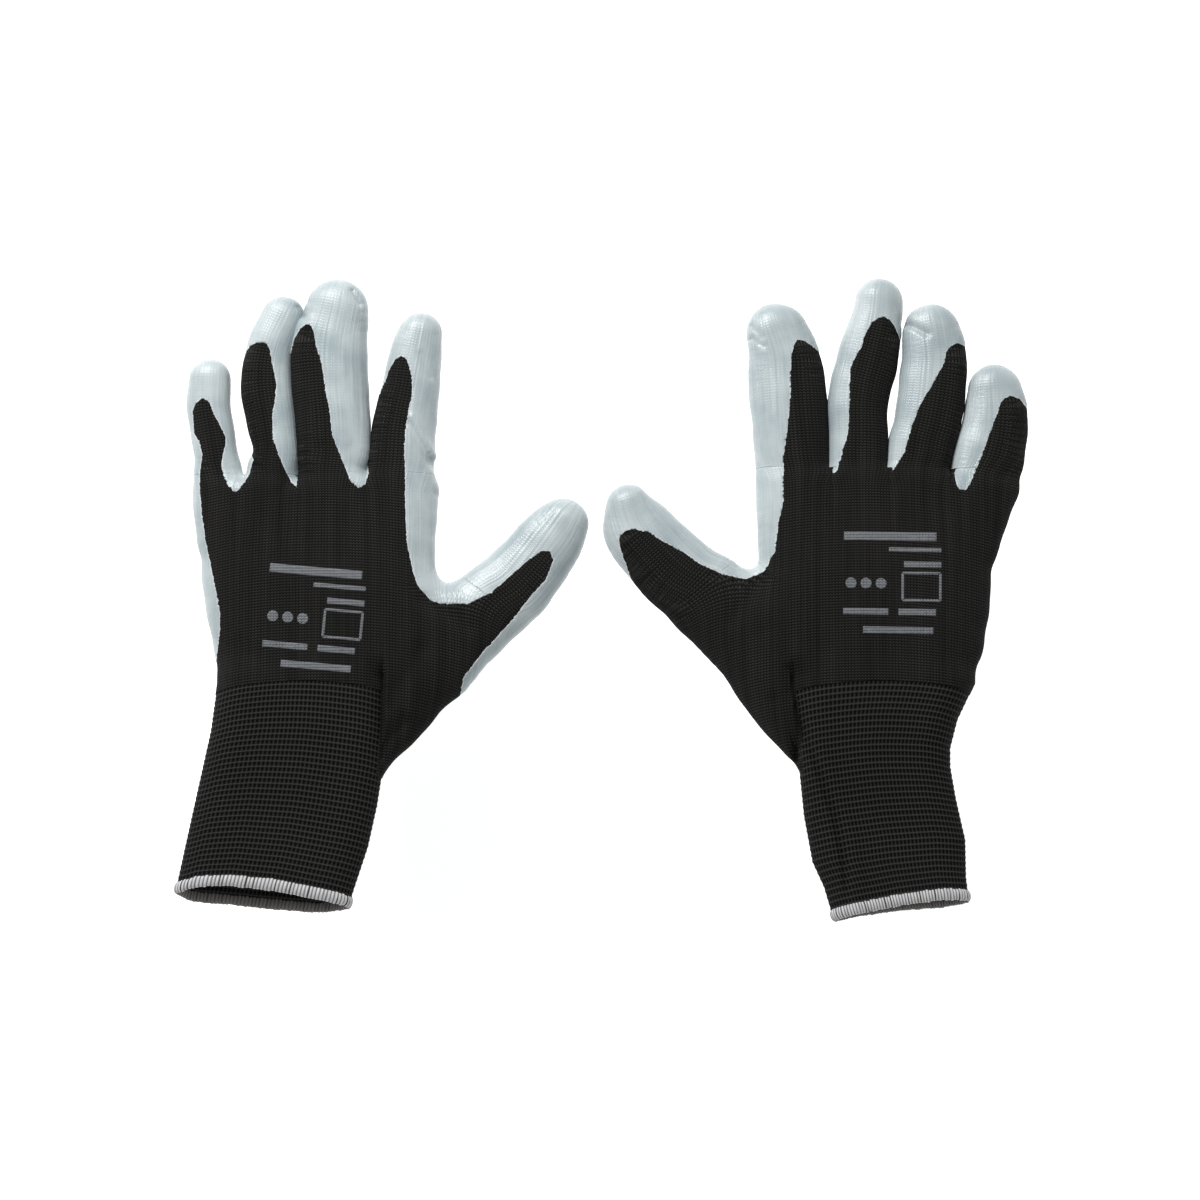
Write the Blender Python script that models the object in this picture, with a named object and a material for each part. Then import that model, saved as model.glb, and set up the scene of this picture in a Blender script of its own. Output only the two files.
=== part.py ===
"""A pair of knitted work gloves with dipped palms, lying palms down with the fingers along +Y.

Each glove is a knitted liner, a ribbed cuff with an overlocked hem, a dipped coating over the palm,
sides and fingertips, and a small print on the back of the hand. The liner and the coating are cut
where the cloth bends, at the knuckles, the thumb's root and the wrist, so that each length can turn.
Lengths are in millimetres here and are put into metres when a mesh is made.
"""

import math

import bmesh
import bpy
import numpy as np
from mathutils import Vector

MM = 0.001

# Cloth and coating, measured outwards from the liner's outer face.
LINER_WALL = 0.8
COATING_GAP = 0.3
COATING_FACE = 0.9
PRINT_FACE = 0.5
GROUND_TO_LINER = COATING_FACE
HALF_GAP = 0.3

# Lines across each glove where it bends.
KNUCKLE_Y = 44.0
WRIST_Y = -38.0
COATING_END_Y = -33.0

# Corners round one section, and how square the sections are (2 is an ellipse).
DIGIT_SIDES, HAND_SIDES = 12, 16
DIGIT_SQUARENESS, HAND_SQUARENESS = 2.3, 3.0

WEB_WALL = 0.9
STALL_HOLE_INSET = 2.2
THUMB_HOLE_INSET = 1.6
STUB_LIFT = 0.4
STUB_OVERLAP = 3.0
HEM_RADIUS = 2.2
HEM_POINTS = 28
HEM_GAP = 0.35

# name: (colour, roughness, metallic)
FINISHES = {
    "knit": ((0.021, 0.021, 0.019), 0.85, 0.0),
    "rib": ((0.024, 0.023, 0.021), 0.9, 0.0),
    "coating": ((0.48, 0.55, 0.57), 0.35, 0.0),
    "hem_thread": ((0.34, 0.34, 0.35), 0.8, 0.0),
    "print_ink": ((0.10, 0.12, 0.15), 0.6, 0.0),
}

# A digit's stations are (distance from its hinge, middle across, half width), its window is the plan
# of the bare knit on its back, and its height is at the hinge.
GLOVES = {
    "left": {
        # (y, left edge, right edge, top of the liner above its underside)
        "hand": [
            (-37.7, -153.4, -61.5, 20.0), (-25.0, -153.2, -56.5, 22.0), (-12.0, -155.2, -55.5, 23.5),
            (4.0, -157.8, -61.0, 23.0), (16.0, -159.2, -66.5, 21.5), (30.0, -160.6, -66.8, 19.5),
            (43.7, -161.8, -66.6, 17.5),
        ],
        "cuff": [
            (-38.3, -153.6, -62.5, 20.0), (-52.0, -155.7, -72.0, 19.0), (-67.0, -158.8, -87.0, 18.5),
            (-84.0, -163.0, -90.4, 18.5), (-100.0, -166.2, -94.0, 19.0), (-113.0, -168.4, -98.8, 20.0),
        ],
        "cuff_slope": -0.11,
        "digits": {
            "index": {
                "root_x": -81.3, "height": 15.5, "tip": 70.8,
                "stations": [(0.0, 0.4, 12.8), (36.0, 4.3, 10.9), (70.8, 8.7, 9.8)],
                "window": [(-18.0, -2.0), (2.0, -2.0), (3.0, 30.0), (3.4, 48.0), (1.0, 53.0), (-18.0, 34.0)],
            },
            "middle": {
                "root_x": -109.0, "height": 16.0, "tip": 84.0,
                "stations": [(0.0, 0.0, 11.7), (44.0, 1.6, 12.4), (84.0, 4.4, 11.7)],
                "window": [(-17.0, -2.0), (6.0, -2.0), (1.0, 32.0), (-5.5, 62.0), (-9.0, 65.0), (-19.0, 58.0)],
            },
            "ring": {
                "root_x": -132.7, "height": 15.0, "tip": 77.6,
                "stations": [(0.0, 0.0, 9.0), (44.0, -1.5, 8.8), (77.6, 1.0, 8.3)],
                "window": [(-14.0, -2.0), (5.0, -2.0), (2.0, 30.0), (-1.0, 56.0), (-5.0, 59.0), (-15.0, 50.0)],
            },
            "pinky": {
                "root_x": -152.6, "height": 13.5, "tip": 52.0,
                "stations": [(0.0, -0.2, 8.2), (34.0, -4.6, 7.4), (52.0, -4.0, 7.2)],
                "window": [(-13.0, -2.0), (2.0, -2.0), (0.0, 20.0), (-5.0, 34.0), (-8.0, 36.0), (-16.0, 30.0)],
            },
        },
        "thumb": {
            "root": (-47.5, -5.4), "heading": -39.4, "height": 17.0, "tip": 58.2,
            "stations": [(0.0, 0.0, 16.4), (20.0, 0.5, 14.8), (39.0, 0.5, 13.0), (58.2, 0.0, 10.8)],
            "window": [(-9.0, -2.0), (-7.0, 30.0), (3.0, 45.0), (7.0, 45.0), (14.0, 30.0), (15.0, -2.0)],
            "stub": [(-21.0, -1.0, 13.0), (-0.3, 0.0, 16.6)],
        },
        "window": [
            (-159.6, 46.0), (-156.0, 4.0), (-151.6, -40.0), (-62.0, -40.0), (-50.5, -29.5),
            (-37.0, -17.0), (-51.5, 0.5), (-66.5, 0.0), (-76.5, 20.0), (-78.0, 46.0),
        ],
        "print": ((-134.0, -29.0), (-93.0, 14.0)),
    },
    "right": {
        "hand": [
            (-37.7, 55.5, 148.2, 20.0), (-25.0, 55.0, 151.6, 22.0), (-12.0, 55.0, 154.8, 23.5),
            (4.0, 57.0, 156.4, 23.0), (16.0, 62.0, 159.6, 21.5), (30.0, 62.9, 164.0, 19.5),
            (43.7, 62.6, 167.6, 17.5),
        ],
        "cuff": [
            (-38.3, 56.0, 148.0, 20.0), (-52.0, 65.5, 141.4, 19.0), (-67.0, 79.0, 139.4, 18.0),
            (-86.0, 81.0, 142.8, 17.5), (-103.0, 83.7, 144.8, 17.5), (-116.0, 89.5, 146.0, 17.5),
        ],
        "cuff_slope": 0.14,
        "digits": {
            "index": {
                "root_x": 76.9, "height": 15.5, "tip": 74.8,
                "stations": [(0.0, 0.0, 12.7), (36.0, -1.9, 13.5), (74.8, -6.7, 11.2)],
                "window": [(-1.0, -2.0), (0.0, 35.0), (2.0, 55.0), (5.0, 58.0), (18.0, 48.0), (18.0, -2.0)],
            },
            "middle": {
                "root_x": 103.4, "height": 16.0, "tip": 84.4,
                "stations": [(0.0, 0.0, 10.5), (54.0, 3.9, 10.2), (84.4, 8.4, 9.8)],
                "window": [(-9.0, -2.0), (-6.0, 30.0), (4.0, 60.0), (11.0, 68.0), (19.0, 66.0), (16.0, -2.0)],
            },
            "ring": {
                "root_x": 127.9, "height": 15.0, "tip": 75.2,
                "stations": [(0.0, 0.0, 10.9), (40.0, 5.3, 11.5), (75.2, 5.3, 10.6)],
                "window": [(-10.0, -2.0), (-4.0, 24.0), (6.0, 52.0), (12.0, 58.0), (21.0, 56.0), (17.0, -2.0)],
            },
            "pinky": {
                "root_x": 154.3, "height": 13.5, "tip": 50.0,
                "stations": [(0.0, 0.4, 11.9), (28.0, 4.6, 10.6), (50.0, 3.1, 9.4)],
                "window": [(-9.0, -2.0), (-4.0, 16.0), (3.0, 32.0), (8.0, 38.0), (20.0, 37.0), (18.0, -2.0)],
            },
        },
        "thumb": {
            "root": (45.4, -0.2), "heading": 40.3, "height": 17.0, "tip": 60.0,
            "stations": [(0.0, -1.0, 17.4), (21.0, -1.0, 15.4), (40.0, -0.5, 13.6), (60.0, 0.0, 11.2)],
            "window": [(-17.0, -2.0), (-15.0, 28.0), (-8.0, 44.0), (-4.0, 44.0), (8.0, 30.0), (10.0, -2.0)],
            "stub": [(-26.0, 0.0, 14.5), (-0.3, -1.0, 17.6)],
        },
        "window": [
            (165.4, 46.0), (155.0, 6.0), (146.6, -40.0), (56.0, -40.0), (45.0, -27.0),
            (31.0, -12.5), (51.0, 8.0), (64.0, 4.0), (72.0, 20.0), (76.0, 46.0),
        ],
        "print": ((97.0, -16.0), (137.0, 27.0)),
    },
}


def clear_scene():
    for thing in list(bpy.data.objects):
        bpy.data.objects.remove(thing, do_unlink=True)


def new_collection(name):
    made = bpy.data.collections.new(name)
    bpy.context.scene.collection.children.link(made)
    return made


def new_finish(name):
    colour, roughness, metallic = FINISHES[name]
    made = bpy.data.materials.new(name)
    made.use_nodes = True
    shader = made.node_tree.nodes["Principled BSDF"]
    shader.inputs["Base Color"].default_value = (*colour, 1.0)
    shader.inputs["Roughness"].default_value = roughness
    shader.inputs["Metallic"].default_value = metallic
    return made


def section(left, right, bottom, top, sides, squareness):
    """Corners (across, up) of a rounded box section, with one flat side lowest."""
    turn = (np.arange(sides) + 0.5) * 2 * math.pi / sides - math.pi / 2
    across = np.sign(np.cos(turn)) * np.abs(np.cos(turn)) ** (2 / squareness)
    up = np.sign(np.sin(turn)) * np.abs(np.sin(turn)) ** (2 / squareness)
    across, up = across / np.abs(across).max(), up / np.abs(up).max()
    return np.column_stack([
        (left + right) / 2 + across * (right - left) / 2,
        (bottom + top) / 2 + up * (top - bottom) / 2,
    ])


def rings_along_y(stations, grow, sides, squareness):
    """One ring at each (y, left, right, top) station; grow moves the faces outwards."""
    rings = []
    for y, left, right, top in stations:
        flat = section(left - grow, right + grow, GROUND_TO_LINER - grow,
                       GROUND_TO_LINER + top + grow, sides, squareness)
        rings.append([(x, y, z) for x, z in flat])
    return rings


def digit_rings(digit, grow, start=HALF_GAP):
    """Rings from the hinge to the rounded fingertip, along the digit's own +Y."""
    far, middle, half = (np.array(column) for column in zip(*digit["stations"]))
    tip = digit["tip"]
    round_from = tip - half[-1]
    rings = []
    bends = [0.45, 0.75, 0.93]
    straight = list(np.linspace(start, round_from, 4))
    for y in straight + [round_from + share * (tip - round_from + grow) for share in bends]:
        narrow = 1.0
        if y > round_from:
            narrow = math.sqrt(max(0.0, 1 - ((y - round_from) / (tip - round_from + grow)) ** 2))
        centre = np.interp(y, far, middle)
        reach = (np.interp(y, far, half) + grow) * narrow
        high = digit["height"] * (1 - 0.12 * min(y, tip) / tip)
        centre_z = GROUND_TO_LINER + high / 2
        tall = (high / 2 + grow) * (0.25 + 0.75 * narrow)
        low = max(centre_z - tall, GROUND_TO_LINER - grow)
        flat = section(centre - reach, centre + reach, low, centre_z + tall,
                       DIGIT_SIDES, DIGIT_SQUARENESS)
        rings.append([(x, y, z) for x, z in flat])
    return rings


def add_mesh(name, points, faces, finish, collection):
    mesh = bpy.data.meshes.new(name)
    mesh.from_pydata([Vector(p) * MM for p in points], [], faces)
    work = bmesh.new()
    work.from_mesh(mesh)
    bmesh.ops.recalc_face_normals(work, faces=work.faces)
    work.to_mesh(mesh)
    work.free()
    mesh.shade_smooth()
    mesh.set_sharp_from_angle(angle=math.radians(50))
    if finish:
        mesh.materials.append(new_finish(finish) if isinstance(finish, str) else finish)
    made = bpy.data.objects.new(name, mesh)
    collection.objects.link(made)
    return made


def side_faces(first, rings, sides):
    """The four-cornered faces between each ring and the next."""
    faces = []
    for i in range(rings - 1):
        for j in range(sides):
            a, b = first + i * sides + j, first + i * sides + (j + 1) % sides
            faces.append((a, b, b + sides, a + sides))
    return faces


def loft_solid(name, rings, finish, collection):
    """A body through the rings, flat at both ends."""
    sides = len(rings[0])
    points = [p for ring in rings for p in ring]
    faces = side_faces(0, len(rings), sides)
    faces += [tuple(range(sides)), tuple(range(len(points) - sides, len(points)))]
    return add_mesh(name, points, faces, finish, collection)


def loft_shell(name, outer, inner, finish, collection, far_end_open):
    """A wall between two sets of rings, open where it starts and, if asked, where it ends."""
    sides = len(outer[0])
    points = [p for ring in outer + inner for p in ring]
    first = len(outer) * sides
    faces = side_faces(0, len(outer), sides) + side_faces(first, len(inner), sides)
    rims = [(0, first)]
    if far_end_open:
        rims.append((first - sides, len(points) - sides))
    else:
        faces += [tuple(range(first - sides, first)), tuple(range(len(points) - sides, len(points)))]
    for a, b in rims:
        for j in range(sides):
            k = (j + 1) % sides
            faces.append((a + j, a + k, b + k, b + j))
    return add_mesh(name, points, faces, finish, collection)


def prism(name, outline, bottom, top, collection):
    """A plan outline carried straight up from bottom to top."""
    points = [(x, y, bottom) for x, y in outline] + [(x, y, top) for x, y in outline]
    count = len(outline)
    faces = [tuple(range(count)), tuple(range(count, 2 * count))]
    faces += [(i, (i + 1) % count, count + (i + 1) % count, count + i) for i in range(count)]
    return add_mesh(name, points, faces, None, collection)


def as_helper(thing):
    thing.hide_render = True
    thing.display_type = "WIRE"
    return thing


def combine(thing, other, operation):
    step = thing.modifiers.new(f"{operation.lower()} {other.name}", "BOOLEAN")
    step.object = as_helper(other)
    step.operation = operation
    step.solver = "EXACT"


def place(things, root, heading):
    for thing in things:
        thing.location = Vector((root[0], root[1], 0)) * MM
        thing.rotation_euler = (0, 0, math.radians(heading))


def make_digit(side, name, digit, root, heading, parts, cutters):
    """The liner stall and the dipped coating of one finger or thumb, hung on its own hinge."""
    label = f"{side}_{name}"
    liner = loft_shell(f"{label}_liner", digit_rings(digit, 0), digit_rings(digit, -LINER_WALL),
                       "knit", parts, far_end_open=False)
    coating = loft_shell(f"{label}_coating", digit_rings(digit, COATING_FACE),
                         digit_rings(digit, COATING_GAP), "coating", parts, far_end_open=False)
    window = prism(f"{label}_window", digit["window"], GROUND_TO_LINER + 0.42 * digit["height"],
                   GROUND_TO_LINER + 2 * digit["height"], cutters)
    combine(coating, window, "DIFFERENCE")
    hinge = bpy.data.objects.new(f"{label}_hinge", None)
    parts.objects.link(hinge)
    place([hinge, window], root, heading)
    liner.parent = coating.parent = hinge


def thumb_stub(label, thumb, grow, start, end, cutters):
    """The short tube that leads from the hand to the thumb's root."""
    (back, back_middle, back_half), (front, front_middle, front_half) = thumb["stub"]
    rings = []
    for y in (start, end):
        share = (y - back) / (front - back)
        middle = back_middle + share * (front_middle - back_middle)
        half = back_half + share * (front_half - back_half) + grow
        flat = section(middle - half, middle + half, GROUND_TO_LINER + STUB_LIFT - grow,
                       GROUND_TO_LINER + thumb["height"] + grow, DIGIT_SIDES, DIGIT_SQUARENESS)
        rings.append([(x, y, z) for x, z in flat])
    stub = loft_solid(label, rings, None, cutters)
    place([stub], thumb["root"], thumb["heading"])
    return stub


def past_ends(stations, start=0.0, end=0.0):
    """The same stations with a further one beyond each end that gets a length."""
    first, last = stations[0], stations[-1]
    before = [(first[0] - start, *first[1:])] if start else []
    after = [(last[0] + end, *last[1:])] if end else []
    return before + list(stations) + after


def make_hand_liner(side, glove, parts, cutters):
    """The back and palm of the knit, open at the wrist, the thumb and the four fingers."""
    thumb, hand = glove["thumb"], glove["hand"]
    back, front = thumb["stub"][0][0], thumb["stub"][1][0]
    liner = loft_solid(f"{side}_hand_liner",
                       rings_along_y(hand, 0, HAND_SIDES, HAND_SQUARENESS), "knit", parts)
    combine(liner, thumb_stub(f"{side}_thumb_stub", thumb, 0, back, front, cutters), "UNION")
    top = hand[-1]
    hollow = past_ends([*hand[:-1], (top[0] - WEB_WALL, *top[1:])], start=5.0)
    combine(liner, loft_solid(f"{side}_hand_hollow",
            rings_along_y(hollow, -LINER_WALL, HAND_SIDES, HAND_SQUARENESS), None, cutters), "DIFFERENCE")
    combine(liner, thumb_stub(f"{side}_thumb_hollow", thumb, -THUMB_HOLE_INSET,
            back - STUB_OVERLAP, front + STUB_OVERLAP, cutters),
            "DIFFERENCE")
    for name, digit in glove["digits"].items():
        _, _, half = digit["stations"][0]
        reach = half - STALL_HOLE_INSET
        flat = section(-reach, reach, GROUND_TO_LINER + STALL_HOLE_INSET,
                       GROUND_TO_LINER + digit["height"] - STALL_HOLE_INSET, DIGIT_SIDES, DIGIT_SQUARENESS)
        rings = [[(x, y, z) for x, z in flat] for y in (-3.0, 3.0)]
        hole = loft_solid(f"{side}_{name}_hole", rings, None, cutters)
        place([hole], (digit["root_x"], KNUCKLE_Y), 0)
        combine(liner, hole, "DIFFERENCE")


def make_palm_coating(side, glove, parts, cutters):
    """The dipped skin over the palm and both sides, bare on the back of the hand."""
    thumb = glove["thumb"]
    back, front = thumb["stub"][0][0], thumb["stub"][1][0]
    first, second = (np.array(station) for station in glove["hand"][:2])
    share = (COATING_END_Y - first[0]) / (second[0] - first[0])
    hand = [tuple(first + share * (second - first)), *glove["hand"][1:]]
    coating = loft_solid(f"{side}_palm_coating",
                         rings_along_y(hand, COATING_FACE, HAND_SIDES, HAND_SQUARENESS), "coating", parts)
    start = back + 12.0
    combine(coating, thumb_stub(f"{side}_thumb_skin", thumb, COATING_FACE, start, front, cutters), "UNION")
    hollow = past_ends(hand, start=5.0, end=5.0)
    combine(coating, loft_solid(f"{side}_palm_hollow",
            rings_along_y(hollow, COATING_GAP, HAND_SIDES, HAND_SQUARENESS), None, cutters), "DIFFERENCE")
    combine(coating, thumb_stub(f"{side}_skin_hollow", thumb, COATING_GAP,
            back - STUB_OVERLAP, front + STUB_OVERLAP, cutters),
            "DIFFERENCE")
    combine(coating, prism(f"{side}_back_window", glove["window"], 11.0, 60.0, cutters), "DIFFERENCE")


def make_print(side, glove, parts, cutters):
    """The thin printed patch that follows the back of the hand."""
    (left, bottom), (right, top) = glove["print"]
    hand = glove["hand"]
    patch = loft_shell(f"{side}_size_print", rings_along_y(hand, PRINT_FACE, HAND_SIDES, HAND_SQUARENESS),
                       rings_along_y(hand, COATING_GAP, HAND_SIDES, HAND_SQUARENESS), "print_ink", parts,
                       far_end_open=True)
    outline = [(left, bottom), (right, bottom), (right, top), (left, top)]
    combine(patch, prism(f"{side}_print_area", outline, 11.0, 60.0, cutters), "INTERSECT")


def cuff_rings(glove, grow):
    """Rings down the cuff; the mouth slants, and the palm side is the longer."""
    stations = glove["cuff"]
    rings = rings_along_y(stations, grow, HAND_SIDES, HAND_SQUARENESS)
    start, end = stations[0][0], stations[-1][0]
    for (y, left, right, top), ring in zip(stations, rings):
        share = (y - start) / (end - start)
        middle, centre_z = (left + right) / 2, GROUND_TO_LINER + top / 2
        ring[:] = [
            (x, y + share * (glove["cuff_slope"] * (x - middle) + 0.3 * (z - centre_z)), z)
            for x, _, z in ring
        ]
    return rings


def make_cuff(side, glove, parts):
    """The ribbed cuff and the overlocked roll round its mouth, which turn together at the wrist."""
    left, right = glove["cuff"][0][1:3]
    wrist = bpy.data.objects.new(f"{side}_wrist_hinge", None)
    wrist.location = Vector(((left + right) / 2, WRIST_Y, 0)) * MM
    parts.objects.link(wrist)
    cuff = loft_shell(f"{side}_cuff_rib", cuff_rings(glove, 0), cuff_rings(glove, -LINER_WALL),
                      "rib", parts, far_end_open=True)
    mouth = np.array(cuff_rings(glove, -LINER_WALL / 2)[-1])
    mouth[:, 1] -= HEM_RADIUS + HEM_GAP
    mouth[:, 2] = np.maximum(mouth[:, 2], HEM_RADIUS)
    curve = bpy.data.curves.new(f"{side}_cuff_hem", "CURVE")
    curve.dimensions = "3D"
    curve.bevel_depth = HEM_RADIUS * MM
    curve.bevel_resolution = 1
    line = curve.splines.new("POLY")
    line.points.add(len(mouth) - 1)
    for point, place_mm in zip(line.points, mouth):
        point.co = (*(place_mm * MM), 1.0)
    line.use_cyclic_u = True
    curve.materials.append(new_finish("hem_thread"))
    hem = bpy.data.objects.new(f"{side}_cuff_hem", curve)
    parts.objects.link(hem)
    for thing in (cuff, hem):
        thing.parent = wrist
        thing.location = -wrist.location


def make_glove(side, glove, parts, cutters):
    make_hand_liner(side, glove, parts, cutters)
    make_palm_coating(side, glove, parts, cutters)
    make_print(side, glove, parts, cutters)
    make_cuff(side, glove, parts)
    for name, digit in glove["digits"].items():
        make_digit(side, name, digit, (digit["root_x"], KNUCKLE_Y), 0, parts, cutters)
    thumb = glove["thumb"]
    make_digit(side, "thumb", thumb, thumb["root"], thumb["heading"], parts, cutters)


def main():
    clear_scene()
    parts, cutters = new_collection("work_gloves"), new_collection("cutters")
    for side, glove in GLOVES.items():
        make_glove(side, glove, parts, cutters)


main()
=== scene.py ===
import math

import bpy
import numpy as np
from mathutils import Matrix, Vector


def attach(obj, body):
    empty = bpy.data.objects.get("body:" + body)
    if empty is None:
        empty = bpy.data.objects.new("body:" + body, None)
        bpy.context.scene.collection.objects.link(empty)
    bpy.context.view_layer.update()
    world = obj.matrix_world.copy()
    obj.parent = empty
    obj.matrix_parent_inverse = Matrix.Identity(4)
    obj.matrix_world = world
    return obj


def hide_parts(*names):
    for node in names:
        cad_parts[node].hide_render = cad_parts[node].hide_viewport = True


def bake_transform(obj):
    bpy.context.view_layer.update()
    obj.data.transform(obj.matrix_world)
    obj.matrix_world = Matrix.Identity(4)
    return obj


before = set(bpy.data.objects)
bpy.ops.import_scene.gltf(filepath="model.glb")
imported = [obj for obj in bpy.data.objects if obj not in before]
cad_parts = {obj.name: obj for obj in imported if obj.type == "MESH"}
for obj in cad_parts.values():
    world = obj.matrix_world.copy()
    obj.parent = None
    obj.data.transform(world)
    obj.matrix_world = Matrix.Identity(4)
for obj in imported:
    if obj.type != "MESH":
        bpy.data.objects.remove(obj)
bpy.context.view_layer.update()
mm = 0.001


# 0 to 1 with level ends: t squared times (3 less twice t)
def smoothStep(t):
    t = np.clip(t, 0, 1)
    return t * t * (3 - 2 * t)


# the lower of two fields; where they differ by less than k they are mixed by their
# difference and lowered by up to a quarter of k, which rounds the corner off
def smoothMin(a, b, k):
    h = np.clip(0.5 + 0.5 * (b - a) / k, 0, 1)
    return b + (a - b) * h - k * h * (1 - h)


# the higher of two fields, rounded in the same way
def smoothMax(a, b, k):
    return -smoothMin(-a, -b, k)


# a curve through every point (Catmull-Rom), each span cut into the same number of steps
def smoothLine(points, steps, closed=False):
    p = np.array(points, float)
    if closed:
        before, after = np.roll(p, 1, 0), np.roll(p, -1, 0)
        later = np.roll(p, -2, 0)
    else:
        q = np.vstack([2 * p[0] - p[1], p, 2 * p[-1] - p[-2]])
        before, after, later, p = q[:-3], q[2:-1], q[3:], q[1:-2]
    t = (np.arange(steps) / steps)[None, :, None]
    a, b, c, d = before[:, None], p[:, None], after[:, None], later[:, None]
    line = 0.5 * (2 * b + (c - a) * t + (2 * a - 5 * b + 4 * c - d) * t ** 2
                  + (3 * b - a - 3 * c + d) * t ** 3)
    line = line.reshape(-1, p.shape[1])
    return line if closed else np.vstack([line, np.array(points, float)[-1:]])


# distance in plan to the nearest edge of a closed outline, positive inside it: a point is
# inside where a level line from it crosses the outline an odd number of times
def insideDistance(x, y, outline):
    nearest = np.full(np.shape(x), 1e9)
    inside = np.zeros(np.shape(x), bool)
    for (ax, ay), (bx, by) in zip(outline, np.roll(outline, -1, 0)):
        ex, ey = bx - ax, by - ay
        t = np.clip(((x - ax) * ex + (y - ay) * ey) / (ex * ex + ey * ey + 1e-12), 0, 1)
        nearest = np.minimum(nearest, np.hypot(x - ax - t * ex, y - ay - t * ey))
        crosses = (ay > y) != (by > y)
        inside ^= crosses & (x < ax + (y - ay) * ex / (ey if ey else 1e-12))
    return np.where(inside, nearest, -nearest)


# the first coordinate down the rows and the second along them
def plane(first, second):
    return np.meshgrid(first, second, indexing="ij")


tableBlur = {"reach": 4, "spread": 1.6}


# a plan function on a 1 mm grid, softened along x and then y by a bell curve
def planTable(low, values):
    reach = tableBlur["reach"]
    kernel = np.exp(-0.5 * (np.arange(-reach, reach + 1) / tableBlur["spread"]) ** 2)
    kernel /= kernel.sum()
    for axis in (0, 1):
        room = [(reach, reach) if i == axis else (0, 0) for i in (0, 1)]
        padded = np.pad(values, room, mode="edge")
        count = values.shape[axis]
        values = sum(k * np.take(padded, np.arange(i, i + count), axis)
                     for i, k in enumerate(kernel))
    return {"low": low, "values": values}


# the four grid values round a point, each weighted by its nearness
def readTable(table, x, y):
    v = table["values"]
    fx = np.clip(x - table["low"][0], 0, v.shape[0] - 1.001)
    fy = np.clip(y - table["low"][1], 0, v.shape[1] - 1.001)
    ix, iy = fx.astype(int), fy.astype(int)
    tx, ty = fx - ix, fy - iy
    return ((v[ix, iy] * (1 - tx) + v[ix + 1, iy] * tx) * (1 - ty)
            + (v[ix, iy + 1] * (1 - tx) + v[ix + 1, iy + 1] * tx) * ty)


# The two gloves, in millimetres, drawn in plan.
# outline: the hand and wrist, running on under the digits; webs: where the hand ends.
# split, thumbAlong, thumbBeyond: where the finger stalls and the thumb stall begin.
# spine: x, y and half width along a digit; half: half its thickness; mid: the height of its
# centreline at root and tip. window: bare knit on the back; tongues: where it runs on along
# a digit. folds: from x, y to x, y, then width and depth, a negative depth being a ridge.
# cuff: outer, inner and fold give y and x; the mouths give share across and y; half and mid
# give half its thickness and its middle's height at the top and at the mouth.

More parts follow.
